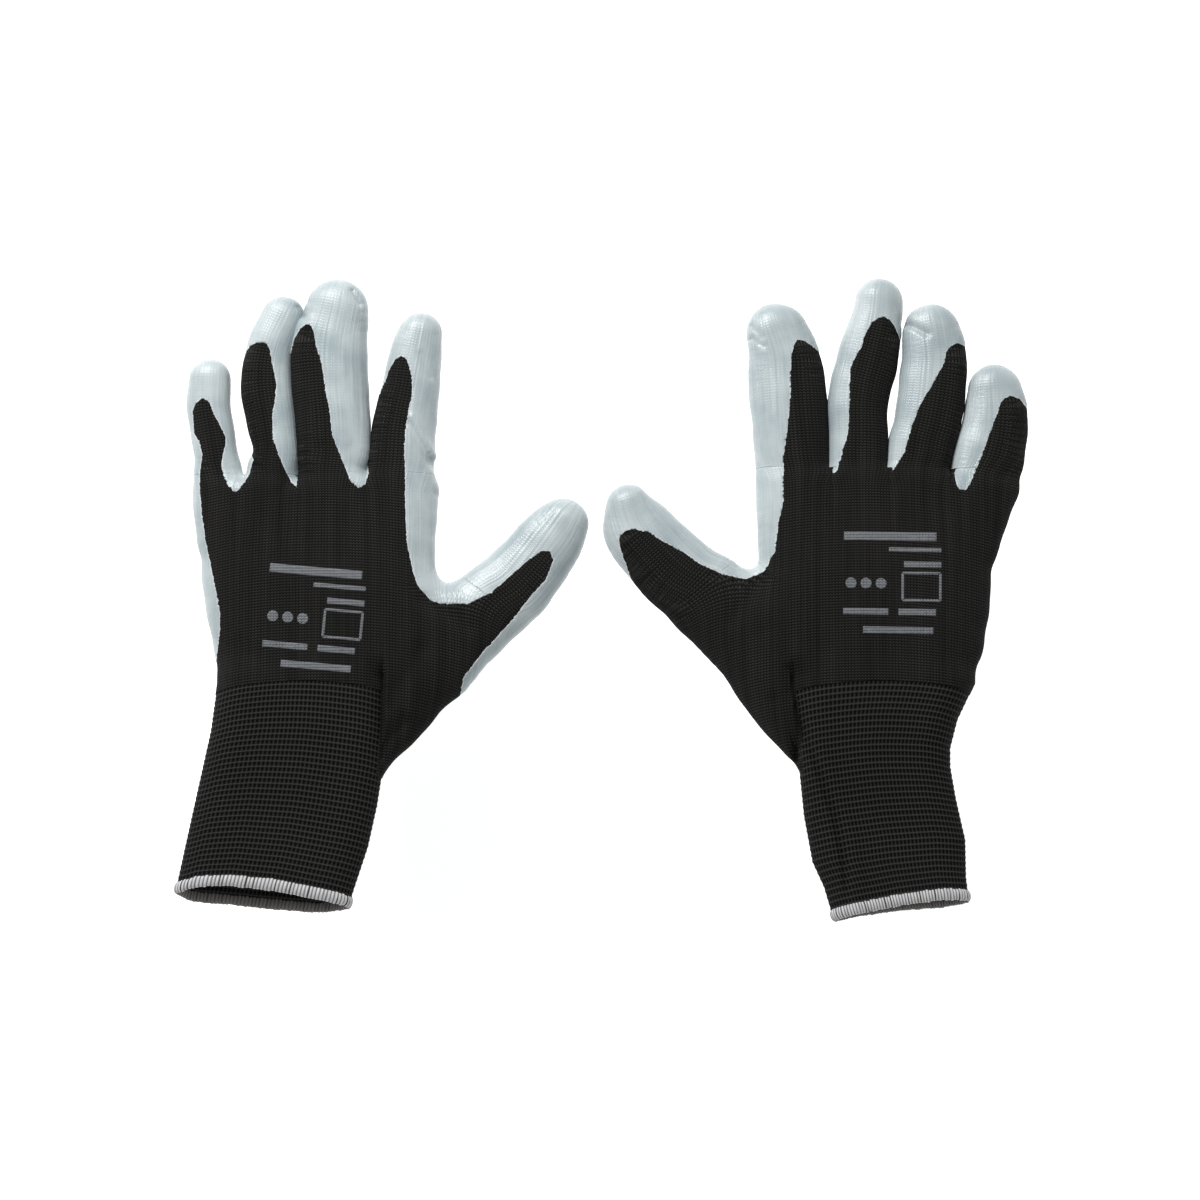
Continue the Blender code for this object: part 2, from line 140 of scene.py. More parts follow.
leftGlove = {
    "centre": -110, "split": 50.5, "thumbAlong": 6, "thumbBeyond": 21,
    "outline": [(-161, 90), (-161.2, 66), (-160.6, 46.5), (-159.8, 27), (-159.2, 11.5),
      (-156.8, -6.5), (-153.2, -26.5), (-152.8, -38.5), (-155, -53), (-160.5, -78), (-165, -99.5),
      (-169, -135), (-101, -135), (-93.5, -99.5), (-88.5, -80), (-86, -70), (-77.7, -61),
      (-70.7, -54), (-60, -42), (-54, -35), (-52, -16.5), (-55, -0.5), (-62, 5.5), (-66.5, 16),
      (-67.6, 46.5), (-67.8, 90)],
    "webs": [(-175, 46), (-143, 49), (-122.5, 46.5), (-94, 50.5), (-60, 48)],
    "digits": {
        "pinky": {
            "half": 6.5, "mid": (8, 7),
            "spine": [(-151, 26, 8), (-152, 40, 9.5), (-153, 51, 9.5), (-154, 58.5, 8.4),
              (-155.5, 67.5, 8.5), (-157.3, 79.5, 8.6), (-157, 90.3, 8)]},
        "ring": {
            "half": 7.2, "mid": (8, 6.6),
            "spine": [(-129, 26, 9), (-130.5, 40, 10), (-131.4, 51, 10.6), (-130.6, 61.5, 9),
              (-132.2, 73.5, 9.8), (-134.5, 88.5, 10.3), (-133, 103.5, 9.3), (-127.8, 116, 8.4)]},
        "middle": {
            "half": 8.4, "mid": (8.6, 9.2),
            "spine": [(-107, 26, 12), (-108, 40, 13), (-107.8, 51, 13.8), (-107, 62, 14.6),
              (-107.5, 73.5, 15.1), (-108.8, 88.5, 15.2), (-108.9, 103.5, 14.9), (-106, 118.8, 12)]},
        "index": {
            "half": 7.8, "mid": (8.4, 8),
            "spine": [(-82, 26, 12), (-81, 40, 13.2), (-80.3, 51, 13.8), (-79.4, 66, 13),
              (-78.4, 74.5, 12.5), (-76.3, 86, 11.4), (-74.2, 99, 10.4), (-72.4, 108.5, 8.6)]},
        "thumb": {
            "half": 8.6, "mid": (9, 8),
            "spine": [(-69, -29, 12), (-56.6, -16, 14.9), (-46.3, -4.7, 15.6), (-32.3, 8.5, 14.8),
              (-20, 24.3, 12.8), (-15, 31.4, 10)]}},
    "window": [(-159.8, 40), (-159, 32), (-157.9, 24.5), (-156, 15.5), (-153.4, 3.3), (-151.5, -6),
      (-151.5, -13.5), (-152.3, -19.5), (-153.5, -28.5), (-156, -45), (-158, -80), (-60, -80),
      (-57, -46), (-54.5, -32.5), (-47, -22.5), (-34.5, -8.5), (-27.5, 0.5), (-21.5, 7.5),
      (-18.5, 15), (-20, 18.5), (-23.5, 18.5), (-29.5, 14), (-43.5, 1.5), (-53, -3), (-64, -3),
      (-67.8, -1.4), (-73, 4.6), (-75.2, 12.2), (-77.3, 23), (-78, 40)],
    "tongues": {
        "pinky": [(-158.7, 30), (-160.2, 43), (-160.4, 50), (-159.5, 58.5), (-160.5, 63.5),
          (-163, 68), (-163.5, 76.5), (-162, 80), (-159.5, 81.5), (-157, 80), (-155, 75),
          (-150.5, 66.5), (-150, 63.5), (-151, 59), (-151.8, 54), (-150.6, 49), (-148.6, 45),
          (-146.3, 42.4), (-144.5, 42), (-144.5, 30)],
        "ring": [(-147, 30), (-147, 41.8), (-144.8, 43), (-142, 47), (-140.3, 51.5), (-139, 57),
          (-142, 63), (-146, 70), (-147, 90), (-142.5, 101.5), (-140.5, 103.5), (-138, 104.5),
          (-134.5, 104), (-133, 102), (-132, 97.5), (-130, 87), (-130.5, 81), (-131.5, 73.5),
          (-131, 64.5), (-129, 58.5), (-126.5, 52.5), (-123.5, 47), (-121, 44), (-121, 30)],
        "middle": [(-121.3, 30), (-121.3, 50.5), (-123, 56), (-126, 64), (-127, 90), (-124.5, 100),
          (-123, 106), (-120.5, 110), (-118, 111.5), (-116, 110.5), (-115, 107.5), (-114, 102),
          (-112, 96), (-109.5, 81), (-108, 73.5), (-107.5, 66), (-105, 60), (-102, 52.5),
          (-100, 46.8), (-97, 44.2), (-96, 44), (-96, 30)],
        "index": [(-97, 30), (-97, 43.8), (-94, 45.2), (-92.8, 50.5), (-93.5, 56), (-95, 64),
          (-94, 72), (-88.5, 84), (-86.5, 88.5), (-84.5, 93.5), (-82.5, 97), (-80, 98.5),
          (-77.5, 97), (-76.5, 93.5), (-75.5, 88.5), (-75.5, 82.5), (-77, 75), (-78, 67.5),
          (-78.5, 60), (-78, 51), (-78, 30)]},
    "folds": [(-75.5, 73.5, -66.5, 58, 1.3, -0.6), (-77, 70.5, -68, 55, 2, 0.9),
      (-72, 99, -68.5, 90, 1.5, 0.5), (-70, 47, -66, 42, 1.5, 0.2),
      (-100, 125, -97, 120, 1.2, 0.9), (-122, 119, -119, 115, 1.3, 0.8),
      (-112, 60, -103, 44, 3, 0.7), (-90, 44, -100, 60, 3, 0.6), (-70, -2, -52, -12, 3.5, 0.8),
      (-78, -50, -88, -62, 3, 1.2), (-85.5, -38, -87, -64, 2, 0.8), (-128, 42, -121, 54, 2.5, 0.5),
      (-144, -20, -128, -34, 4, 0.5), (-71, -22, -84, -44, 4, 1.3)],
    "cuff": {
        "outer": [(-34, -152.6), (-53, -155), (-78, -160.3), (-99.5, -164.8), (-117, -168.4),
          (-124, -169.4)],
        "inner": [(-34, -85), (-53, -85.4), (-69, -86.6), (-83, -88.7), (-99.5, -92.2),
          (-117.5, -98), (-124, -99.8)],
        "backMouth": [(-1, -116), (-0.8, -114.4), (-0.4, -114), (0.1, -115.8), (0.6, -119.2),
          (1, -121.6)],
        "palmMouth": [(-1, -116), (-0.85, -118.4), (-0.4, -119.6), (0.1, -121.4), (0.6, -122.8),
          (1, -122.4)],
        "half": (11, 8.2), "mid": (9.6, 9), "fold": None},
    "print": {"centre": (-113.5, -11.5), "turn": -5}}

rightGlove = {
    "centre": 107, "split": 53, "thumbAlong": 6, "thumbBeyond": -22,
    "outline": [(169, 90), (168.4, 60), (165.8, 46.5), (161.7, 33), (158.4, 18.5), (156.6, 9.5),
      (155.4, -6.5), (152, -24.5), (148, -38.5), (142.5, -48.5), (139.5, -60), (139.5, -67.5),
      (141, -80), (145, -96.5), (147, -135), (94, -135), (84, -105.5), (81, -87), (79.5, -69),
      (66, -55), (57.5, -43), (53, -35), (50, -24), (50, -12), (54.5, 0), (62, 10), (65, 18),
      (66, 34.5), (66.5, 50), (66.5, 90)],
    "webs": [(50, 48), (92, 52), (116, 52), (140, 50.5), (160, 48), (180, 46)],
    "digits": {
        "index": {
            "half": 8, "mid": (8.4, 8.6),
            "spine": [(79, 22, 12), (78.6, 36, 13.8), (78.3, 47.5, 15), (77.6, 58, 15.2),
              (76.6, 71, 15.1), (75.5, 86.5, 15.2), (74.6, 98.5, 14.3), (71.6, 108.7, 12.2)]},
        "middle": {
            "half": 8, "mid": (8.4, 8),
            "spine": [(104, 24, 11), (104, 40, 12), (103.7, 55, 12.1), (104, 67, 11.8),
              (104, 78.5, 11.9), (105, 86.5, 12.2), (107, 95, 12.4), (109.2, 104, 11.7),
              (111.4, 114, 10.2), (112.3, 121.8, 9.4)]},
        "ring": {
            "half": 7.6, "mid": (8.4, 8.2),
            "spine": [(127, 24, 11), (127.5, 40, 11.8), (127.6, 51.5, 12.4), (129.3, 63, 13.1),
              (131.3, 71, 13.3), (133, 80, 13.6), (134.3, 90, 13.6), (134.8, 98.5, 13.1),
              (133.3, 109.2, 11.4)]},
        "pinky": {
            "half": 7, "mid": (8, 7),
            "spine": [(148, 22, 9), (151, 36, 10.8), (153.6, 47.5, 13.1), (156.2, 57, 14.3),
              (158.3, 66, 13.6), (159.2, 75, 12.6), (158.6, 85.6, 10.6)]},
        "thumb": {
            "half": 9, "mid": (9, 8),
            "spine": [(66, -28, 12), (55.5, -13, 16), (45, -1, 17.6), (37.6, 5.6, 16.4),
              (28.3, 13.4, 15.6), (21.8, 20.8, 14.8), (16.4, 27, 14.2), (13.2, 33.2, 11),
              (11.4, 38.6, 8.2)]}},
    "window": [(73, 38), (73, 36.5), (71.5, 31), (70, 18.5), (65.5, 10.5), (58, 7.5), (49.5, 9),
      (40.5, 13), (34, 17.5), (25, 22.5), (19.5, 26), (13.5, 27.5), (9.6, 26.5), (7.9, 24.5),
      (7.9, 21), (9.4, 16.2), (12.2, 9.2), (15, 4), (13, 0), (24, -14), (40, -32), (60, -60),
      (70, -85), (160, -85), (152, -42), (157, -25), (161, -7), (162, 8), (166, 18), (170, 31),
      (172, 38), (90, 38)],
    "tongues": {
        "index": [(73, 28), (73.5, 47.5), (73.5, 57), (75, 67), (76.5, 82.5), (76.5, 90.5),
          (77, 98.5), (78, 103), (79.5, 105), (81.5, 105), (84.5, 103.5), (88, 101), (93, 95),
          (95, 70), (94, 56), (93, 50), (95, 28)],
        "middle": [(90, 28), (91.5, 48), (95, 51.5), (96, 55), (97.5, 60.5), (99.5, 67),
          (100, 78.5), (100.5, 93.5), (102.5, 97.5), (105, 102), (106.5, 107), (109, 111.5),
          (112, 114), (114, 114.5), (117, 113), (119, 110), (121, 105.5), (121, 99), (118.5, 80),
          (117.5, 65), (117, 50.5), (118, 28)],
        "ring": [(113, 28), (115, 48), (118.5, 53.5), (122, 59), (123.5, 64.5), (125.5, 71),
          (128.5, 78.5), (132.5, 85), (135.5, 90.5), (138.5, 96), (139, 100), (141, 102.5),
          (143.5, 104), (147, 103.5), (150, 98), (149, 80), (144.5, 62), (142, 50), (142.4, 46),
          (143.6, 43.8), (145, 43), (145, 28)],
        "pinky": [(144, 28), (144.5, 43), (146.3, 43.6), (148, 45.6), (150, 50.5), (152, 55),
          (156, 66), (159.5, 75.5), (161, 79.5), (162.5, 81.5), (165, 82.5), (168.5, 81.5),
          (172, 78), (174.5, 66), (173, 50), (168, 28)]},
    "folds": [(61.5, 111, 65, 106, 1.3, 0.6), (61.5, 106, 66, 102.5, 1.3, 0.5),
      (122, 113.5, 131.5, 107.5, 1.6, 1.1), (104, 60, 98, 44, 3, 0.6), (128, 62, 119, 46, 3, 0.6),
      (152, 58, 146, 42, 3, 0.6), (64, 6, 52, -10, 3.5, 0.8), (70, -42, 80, -62, 3, 1.1),
      (75, -30, 79, -64, 2.2, 1.4), (100, 6, 92, -20, 5, 0.4), (150, -26, 134, -36, 4, 0.5),
      (66, -15, 76, -38, 4, 1.3)],
    "cuff": {
        "outer": [(-34, 149.5), (-48.5, 142.5), (-60, 139.5), (-67.5, 139.5), (-80, 141.6),
          (-96.5, 145.2), (-112, 145.4), (-120, 146.4), (-132, 148.6)],
        "inner": [(-34, 75.4), (-53, 77.9), (-67.5, 79.3), (-87, 81.2), (-105.5, 84.5),
          (-115.5, 89), (-128, 92.6), (-135, 94)],
        "backMouth": [(-1, -127), (-0.7, -125.2), (0, -121.4), (0.6, -119.2), (1, -118.8)],
        "palmMouth": [(-1, -127), (-0.7, -124.8), (0, -122), (0.6, -120.8), (1, -119.2)],
        "half": (11, 6.4), "mid": (9.6, 7.4),
        "fold": [(-34, 74.5), (-48, 78), (-69, 86.5), (-89, 93.5), (-108, 97), (-128, 99)]},
    "print": {"centre": (117, 3), "turn": -1}}

gloves = {"left": leftGlove, "right": rightGlove}
fingers = ["index", "middle", "ring", "pinky"]
allDigits = fingers + ["thumb"]

# spineSteps: steps in each span of a spine; rootPoint: the spine point at the web
spineSteps, rootPoint = 4, 2

# sideRound: how far in from its outline the hand is rounded; rest: height of its flat side
handSize = {"half": 11, "mid": 9.4, "sideRound": 22, "thinFrom": 4, "thinOver": 42,
            "thinner": 2.5, "lower": 0.8, "webRound": 6, "rest": 0.35, "restRound": 2.5}
digitSize = {"power": 2.2, "crotchRound": 4.5}
net = {"cell": 0.75, "slopeStep": 0.25, "pulls": 2, "leastSlope": 0.05, "mostPull": 0.5}


# the smoothed outline, the plan table of its distance and each digit's centreline
def prepareGlove(glove):
    rim, digitRoom = 40, 24
    sharp = np.array(glove["outline"])
    glove["outlineBox"] = (sharp[:, 0].min(), sharp[:, 0].max())
    outline = smoothLine(glove["outline"], 4, closed=True)
    glove["webs"] = smoothLine(glove["webs"], 8)
    low, high = outline.min(0) - rim, np.array([outline[:, 0].max() + rim, 100])
    x, y = plane(np.arange(low[0], high[0]), np.arange(low[1], high[1]))
    glove["table"] = planTable(low, insideDistance(x, y, outline))
    for digit in glove["digits"].values():
        line = smoothLine(digit["spine"], spineSteps)
        steps = np.hypot(*np.diff(line[:, :2], axis=0).T)
        digit["line"] = line
        digit["run"] = np.concatenate([[0], np.cumsum(steps)])
        digit["reach"] = [line[:, 0].min() - digitRoom, line[:, 0].max() + digitRoom,
                          line[:, 1].min() - digitRoom, line[:, 1].max() + digitRoom]


# The hand branches into five digits, so it can't be one sheet of rows and columns. It is a
# field instead: below zero in the glove and zero on its surface.

# place along a digit: q is the distance to the nearest centre over the half width there
def alongDigit(x, y, digit):
    best = {"q": np.full(np.shape(x), 1e9)}
    names = ("q", "run", "side", "cx", "cy", "r", "share")
    line, run = digit["line"], digit["run"]
    last = len(line) - 2
    for i in range(last + 1):
        (ax, ay, ar), (bx, by, br) = line[i], line[i + 1]
        ex, ey = bx - ax, by - ay
        length = math.hypot(ex, ey)
        raw = ((x - ax) * ex + (y - ay) * ey) / length ** 2
        t = np.clip(raw, 0, 1)
        cx, cy, r = ax + t * ex, ay + t * ey, ar + t * (br - ar)
        q = np.hypot(x - cx, y - cy) / r
        free = np.maximum(raw, 0) if i == last else t
        new = (q, run[i] + free * length, ((x - ax) * ey - (y - ay) * ex) / length, cx, cy, r,
               (run[i] + t * length) / run[-1])
        closer = q < best["q"]
        for name, value in zip(names, new):
            best[name] = np.where(closer, value, best.get(name, value))
    return best


# q and the rise over half the thickness, each to a power; the root of their sum, less one
def digitField(digit, place, z):
    rootMid, tipMid = digit["mid"]
    mid = rootMid + (tipMid - rootMid) * place["share"]
    rise, power = np.abs(z - mid) / digit["half"], digitSize["power"]
    return ((place["q"] ** power + rise ** power) ** (1 / power) - 1) * digit["half"]


cuffBody = {"top": -36, "round": 14, "settle": 60}


# the x of the two edges of a cuff at a height y
def cuffSides(cuff, y):
    outer, inner = (np.array(cuff[side])[::-1] for side in ("outer", "inner"))
    edges = [np.interp(y, edge[:, 0], edge[:, 1]) for edge in (outer, inner)]
    return np.minimum(*edges), np.maximum(*edges)


# how far a point is inside the edge of the cuff on the thumb's side
def pastCuff(glove, x, y):
    left, right = cuffSides(glove["cuff"], y)
    return x - left if glove["centre"] > 0 else right - x


# half thickness and middle height, easing from the top's values to the mouth's
def cuffThickness(cuff, y):
    share = smoothStep((cuffBody["top"] - y) / cuffBody["settle"])
    return [cuff[key][0] + (cuff[key][1] - cuff[key][0]) * share for key in ("half", "mid")]


# flat, with elliptic edges: the root of the squares of the share of the rounding at the edge
# and of the rise over half the thickness, less one
def cuffField(cuff, x, y, z):
    left, right = cuffSides(cuff, y)
    near = np.minimum(x - left, right - x)
    half, mid = cuffThickness(cuff, y)
    q = np.maximum(1 - near / cuffBody["round"], 0)
    return (np.sqrt(q * q + ((z - mid) / half) ** 2) - 1) * half


# the hand: the same section, rounded along the outline, and cut short at the webs
def handField(glove, x, y, z):
    size = handSize
    s = readTable(glove["table"], x, y)
    q = np.maximum(1 - s / size["sideRound"], 0)
    thin = smoothStep((y - size["thinFrom"]) / size["thinOver"])
    half, mid = size["half"] - size["thinner"] * thin, size["mid"] - size["lower"] * thin
    f = (np.sqrt(q * q + ((z - mid) / half) ** 2) - 1) * half
    webs = glove["webs"]
    return smoothMax(f, y - np.interp(x, webs[:, 0], webs[:, 1]), size["webRound"])


puckers = {"broad": 0.22, "fine": 0.12, "foldsAbove": 6, "foldsOver": 5}


# how far in the surface is: products of sine waves, and for each fold a bell curve of the
# distance to its line, fading out below the back
def foldDepth(glove, x, y, z):
    depth = (puckers["broad"] * np.sin(x / 6.1 + 1.3 * np.sin(y / 17))
             * np.sin(y / 7.7 + np.sin(x / 13)))
    depth = depth + puckers["fine"] * np.sin(x / 2.9 + y / 5.3) * np.sin(y / 3.7 - x / 8.1)
    for ax, ay, bx, by, width, deep in glove["folds"]:
        ex, ey = bx - ax, by - ay
        t = np.clip(((x - ax) * ex + (y - ay) * ey) / (ex * ex + ey * ey), 0, 1)
        away = np.hypot(x - ax - t * ex, y - ay - t * ey) / width
        onBack = smoothStep((z - puckers["foldsAbove"]) / puckers["foldsOver"])
        depth = depth + deep * np.exp(-away ** 2) * onBack
    return depth


wristJoin = {"from": -23, "over": 10, "edge": 0.4, "edgeOver": 2, "inset": 0.22}


# the hand rounded into its digits, turning into the cuff past the wrist, plus the folds, and
# cut off level underneath
def gloveField(glove, names, plan, z):
    x, y = plan["x"], plan["y"]
    hand = handField(glove, x, y, z)
    whole = None
    for name in names:
        digit = digitField(glove["digits"][name], plan[name], z)
        one = smoothMin(hand, digit, digitSize["crotchRound"])
        whole = one if whole is None else np.minimum(whole, one)
    join = wristJoin
    toCuff = (smoothStep((join["from"] - y) / join["over"])
              * smoothStep((pastCuff(glove, x, y) + join["edge"]) / join["edgeOver"]))
    whole = whole + (cuffField(glove["cuff"], x, y, z) - join["inset"] - whole) * toCuff
    whole = whole + foldDepth(glove, x, y, z) * (1 - toCuff)
    return smoothMax(whole, handSize["rest"] - z, handSize["restRound"])


# what the field needs in plan: where each point lies along every digit
def planOf(glove, names, x, y):
    plan = {name: alongDigit(x, y, glove["digits"][name]) for name in names}
    return {"x": x, "y": y, **plan}


def fieldAt(glove, names, points):
    x, y, z = points.T
    return gloveField(glove, names, planOf(glove, names, x, y), z)


# the field's slope: its difference over a short step each way along x, y and z
def slopeAt(glove, names, points):
    parts, step = [], net["slopeStep"]
    for axis in range(3):
        shift = np.zeros(3)
        shift[axis] = step
        ahead, behind = (fieldAt(glove, names, at) for at in (points + shift, points - shift))
        parts.append(ahead - behind)
    return np.stack(parts, 1) / (2 * step)


# surface nets: one vertex in each grid cell that the surface crosses, at the mean of its
# crossings, and one quad round each grid edge that it crosses
def surfaceNet(values, low, cell):
    inside = values < 0
    shape = np.array(values.shape) - 1
    corners = [np.array(((i >> 0) & 1, (i >> 1) & 1, (i >> 2) & 1)) for i in range(8)]
    count = np.zeros(shape, np.int8)
    for c in corners:
        count += inside[c[0]:c[0] + shape[0], c[1]:c[1] + shape[1], c[2]:c[2] + shape[2]]
    active = np.argwhere((count > 0) & (count < 8))
    index = np.full(shape, -1)
    index[tuple(active.T)] = np.arange(len(active))
    at = [values[tuple((active + c).T)] for c in corners]
    total, hits = np.zeros((len(active), 3)), np.zeros(len(active))
    for a in range(8):
        for bit in range(3):
            if (a >> bit) & 1:
                continue
            b = a | (1 << bit)
            crossed = (at[a] < 0) != (at[b] < 0)
            t = np.where(crossed, at[a] / np.where(crossed, at[a] - at[b], 1), 0)
            total += crossed[:, None] * (corners[a] + t[:, None] * (corners[b] - corners[a]))
            hits += crossed
    points = low + cell * (active + total / hits[:, None])
    quads = []
    for axis in range(3):
        u, v = (axis + 1) % 3, (axis + 2) % 3
        first, second = [slice(None)] * 3, [slice(None)] * 3
        first[axis], second[axis] = slice(0, -1), slice(1, None)
        ends = inside[tuple(first)], inside[tuple(second)]
        edge = np.argwhere(ends[0] != ends[1])
        edge = edge[(edge[:, u] > 0) & (edge[:, v] > 0)
                    & (edge[:, u] < shape[u]) & (edge[:, v] < shape[v])]
        outward = ends[0][tuple(edge.T)]
        ring = []
        for du, dv in ((0, 0), (-1, 0), (-1, -1), (0, -1)):
            shifted = edge.copy()
            shifted[:, u] += du
            shifted[:, v] += dv
            ring.append(index[tuple(shifted.T)])
        quad = np.stack(ring, 1)
        quads.append(np.where(outward[:, None], quad, quad[:, ::-1]))
    quads = np.vstack(quads)
    return points, np.vstack([quads[:, [0, 1, 2]], quads[:, [0, 2, 3]]])


# the surface of a glove's field inside a box, each point pulled onto it by the field there
# times its slope over the slope squared
def fieldSurface(glove, names, low, high):
    low, high, cell = np.array(low, float), np.array(high, float), net["cell"]
    axes = [np.arange(low[i], high[i] + cell, cell) for i in range(3)]
    x, y = plane(axes[0], axes[1])
    plan = planOf(glove, names, x[..., None], y[..., None])
    values = gloveField(glove, names, plan, axes[2][None, None, :])
    points, faces = surfaceNet(values, low, cell)
    for _ in range(net["pulls"]):
        slope = slopeAt(glove, names, points)
        steep = np.maximum((slope ** 2).sum(1), net["leastSlope"])
        move = fieldAt(glove, names, points)[:, None] * slope / steep[:, None]
        points = points - np.clip(move, -net["mostPull"], net["mostPull"])
    return points, faces


# keeps the side of a triangle mesh where value is above zero, cutting triangles along zero;
# extra columns are carried along the cut edges
def clipMesh(points, faces, value, extra=None):
    nearZero = 0.02
    extra = np.zeros((len(points), 0)) if extra is None else extra
    value = np.where(np.abs(value) < nearZero, nearZero, value)
    keep = value > 0
    count = keep[faces].sum(1)
    turned = []
    for inCount in (1, 2):
        some = faces[count == inCount]
        turn = (keep[some] == (inCount == 1)).argmax(1)
        turned.append(np.stack([np.take_along_axis(some, ((turn + k) % 3)[:, None], 1)[:, 0]
                                for k in range(3)], 1))
    one, two = turned
    ends = np.vstack([some[:, [0, k]] for some in turned for k in (1, 2)])
    pairs, where = np.unique(np.sort(ends, 1), axis=0, return_inverse=True)
    where = where.reshape(-1) + len(points)
    t = (value[pairs[:, 0]] / (value[pairs[:, 0]] - value[pairs[:, 1]]))[:, None]
    both = np.hstack([points, extra])
    both = np.vstack([both, both[pairs[:, 0]] * (1 - t) + both[pairs[:, 1]] * t])
    a, b, c, d = np.split(where, [len(one), 2 * len(one), 2 * len(one) + len(two)])
    made = [faces[count == 3], np.stack([one[:, 0], a, b], 1),
            np.stack([c, two[:, 1], two[:, 2]], 1), np.stack([c, two[:, 2], d], 1)]
    return dropUnused(both, np.vstack(made))


def dropUnused(both, faces):
    for i, j in ((0, 1), (1, 2), (0, 2)):
        faces = faces[faces[:, i] != faces[:, j]]
    used, faces = np.unique(faces, return_inverse=True)
    return both[used, :3], faces.reshape(-1, 3), both[used, 3:]


# a mesh object from millimetres; its UV map has a row for each point or for each corner
def makePiece(name, points, faces, material, uv=None, floats=None, normals=None):
    mesh = bpy.data.meshes.new(name)
    starts = np.arange(len(faces), dtype=np.int32) * faces.shape[1]
    mesh.vertices.add(len(points))
    mesh.vertices.foreach_set("co", (points * mm).astype(np.float32).ravel())
    mesh.loops.add(faces.size)
    mesh.loops.foreach_set("vertex_index", faces.astype(np.int32).ravel())
    mesh.polygons.add(len(faces))
    mesh.polygons.foreach_set("loop_start", starts)
    mesh.update(calc_edges=True)
    mesh.polygons.foreach_set("use_smooth", np.ones(len(faces), bool))
    if uv is not None:
        layer = mesh.uv_layers.new(name="knit")
        corner = uv[faces.ravel()] if len(uv) == len(points) else uv
        layer.data.foreach_set("uv", corner.astype(np.float32).ravel())
    for key, values in (floats or {}).items():
        layer = mesh.attributes.new(key, "FLOAT", "POINT")
        layer.data.foreach_set("value", values.astype(np.float32))
    mesh.validate()
    if normals is not None:
        mesh.normals_split_custom_set_from_vertices(normals.astype(np.float32))
    piece = bpy.data.objects.new(name, mesh)
    bpy.context.scene.collection.objects.link(piece)
    mesh.materials.append(material)
    return piece


def addWall(piece, thickness):
    solidify = piece.modifiers.new("wall", "SOLIDIFY")
    solidify.thickness, solidify.offset = thickness * mm, -1


thumbRoots = {"left": {"root": (-47.5, -5.4), "along": (0.635, 0.773)},
              "right": {"root": (45.4, -0.2), "along": (-0.647, 0.763)}}


# millimetres along the thumb from its root, and to the side
def thumbPlace(side, points):
    root, along = np.array(thumbRoots[side]["root"]), np.array(thumbRoots[side]["along"])
    away = points[:, :2] - root
    return away @ along, away @ np.array([-along[1], along[0]])


# above zero where a point belongs to the thumb stall: past its cut and near enough to it
def inThumb(side, glove, points):
    along, cross = thumbPlace(side, points)
    beyond = glove["thumbBeyond"]
    outOfReach = cross > beyond if beyond > 0 else cross < beyond
    return np.where(outOfReach, -5, along - glove["thumbAlong"])


# the digit with the lowest q at each point, and the point's place along it
def nearestDigit(glove, names, points):
    places = [alongDigit(points[:, 0], points[:, 1], glove["digits"][name]) for name in names]
    pick = np.argmin([place["q"] for place in places], 0)
    merged = {key: np.choose(pick, [place[key] for place in places]) for key in places[0]}
    mids = [glove["digits"][name]["mid"] for name in names]
    root, tip = (np.array([m[i] for m in mids])[pick] for i in (0, 1))
    merged["mid"] = root + (tip - root) * merged["share"]
    merged["half"] = np.array([glove["digits"][name]["half"] for name in names])[pick]
    return pick, merged


# edge: extra length over the rounded edge; finger and thumb: where the knit turns along them
knitRun = {"edgeExtra": 5.3, "edgePower": 1.5, "edgeOver": 10, "fingerBefore": 10,
           "fingerOver": 16, "thumbBefore": 14, "thumbOver": 30, "arch": 4, "archHalf": 45}


# millimetres across and along the knit: round and along a digit, and over the back by x and y,
# with the extra length of the rounded edge added
def knitUv(side, glove, names, points):
    x, y, z = points.T
    run = knitRun
    pick, place = nearestDigit(glove, names, points)
    digits = [glove["digits"][name] for name in names]
    rise = np.clip(np.abs(z - place["mid"]) / place["half"], 0, 1)
    lean = np.arctan2(np.abs(place["side"]) / place["r"], rise)
    starts = np.array([digit["spine"][rootPoint][:2] for digit in digits])[pick]
    runs = np.array([digit["run"][rootPoint * spineSteps] for digit in digits])[pick]
    around = lean * (place["r"] + place["half"]) / 2
    across = starts[:, 0] + np.sign(place["side"]) * around
    along = starts[:, 1] + place["run"] - runs
    fromCentre = x - glove["centre"]
    edge = 1 - np.clip(np.abs(z - handSize["mid"]) / handSize["half"], 0, 1)
    extra = run["edgeExtra"] * edge ** run["edgePower"]
    handAcross = x + np.tanh(fromCentre / run["edgeOver"]) * extra
    handAlong = y - run["arch"] * (1 - (fromCentre / run["archHalf"]) ** 2)
    finger = smoothStep((y - glove["split"] + run["fingerBefore"]) / run["fingerOver"])
    out, _ = thumbPlace(side, points)
    thumb = smoothStep((out + run["thumbBefore"]) / run["thumbOver"])
    isThumb = np.array([name == "thumb" for name in names])[pick]
    weight = np.where(isThumb, thumb, finger)
    return np.stack([handAcross + (across - handAcross) * weight,
                     handAlong + (along - handAlong) * weight], 1)


# ragged, wave: how uneven the edge is; middle: the part underneath that is always coated;
# end: where the coating ends towards the cuff
coatEdge = {"ragged": 0.12, "wave": 0.1, "digitMiddle": 0.5, "handMiddle": 8, "deep": 5,
            "end": 35, "endLonger": 8, "endOver": 16, "slopeStep": 1.5}


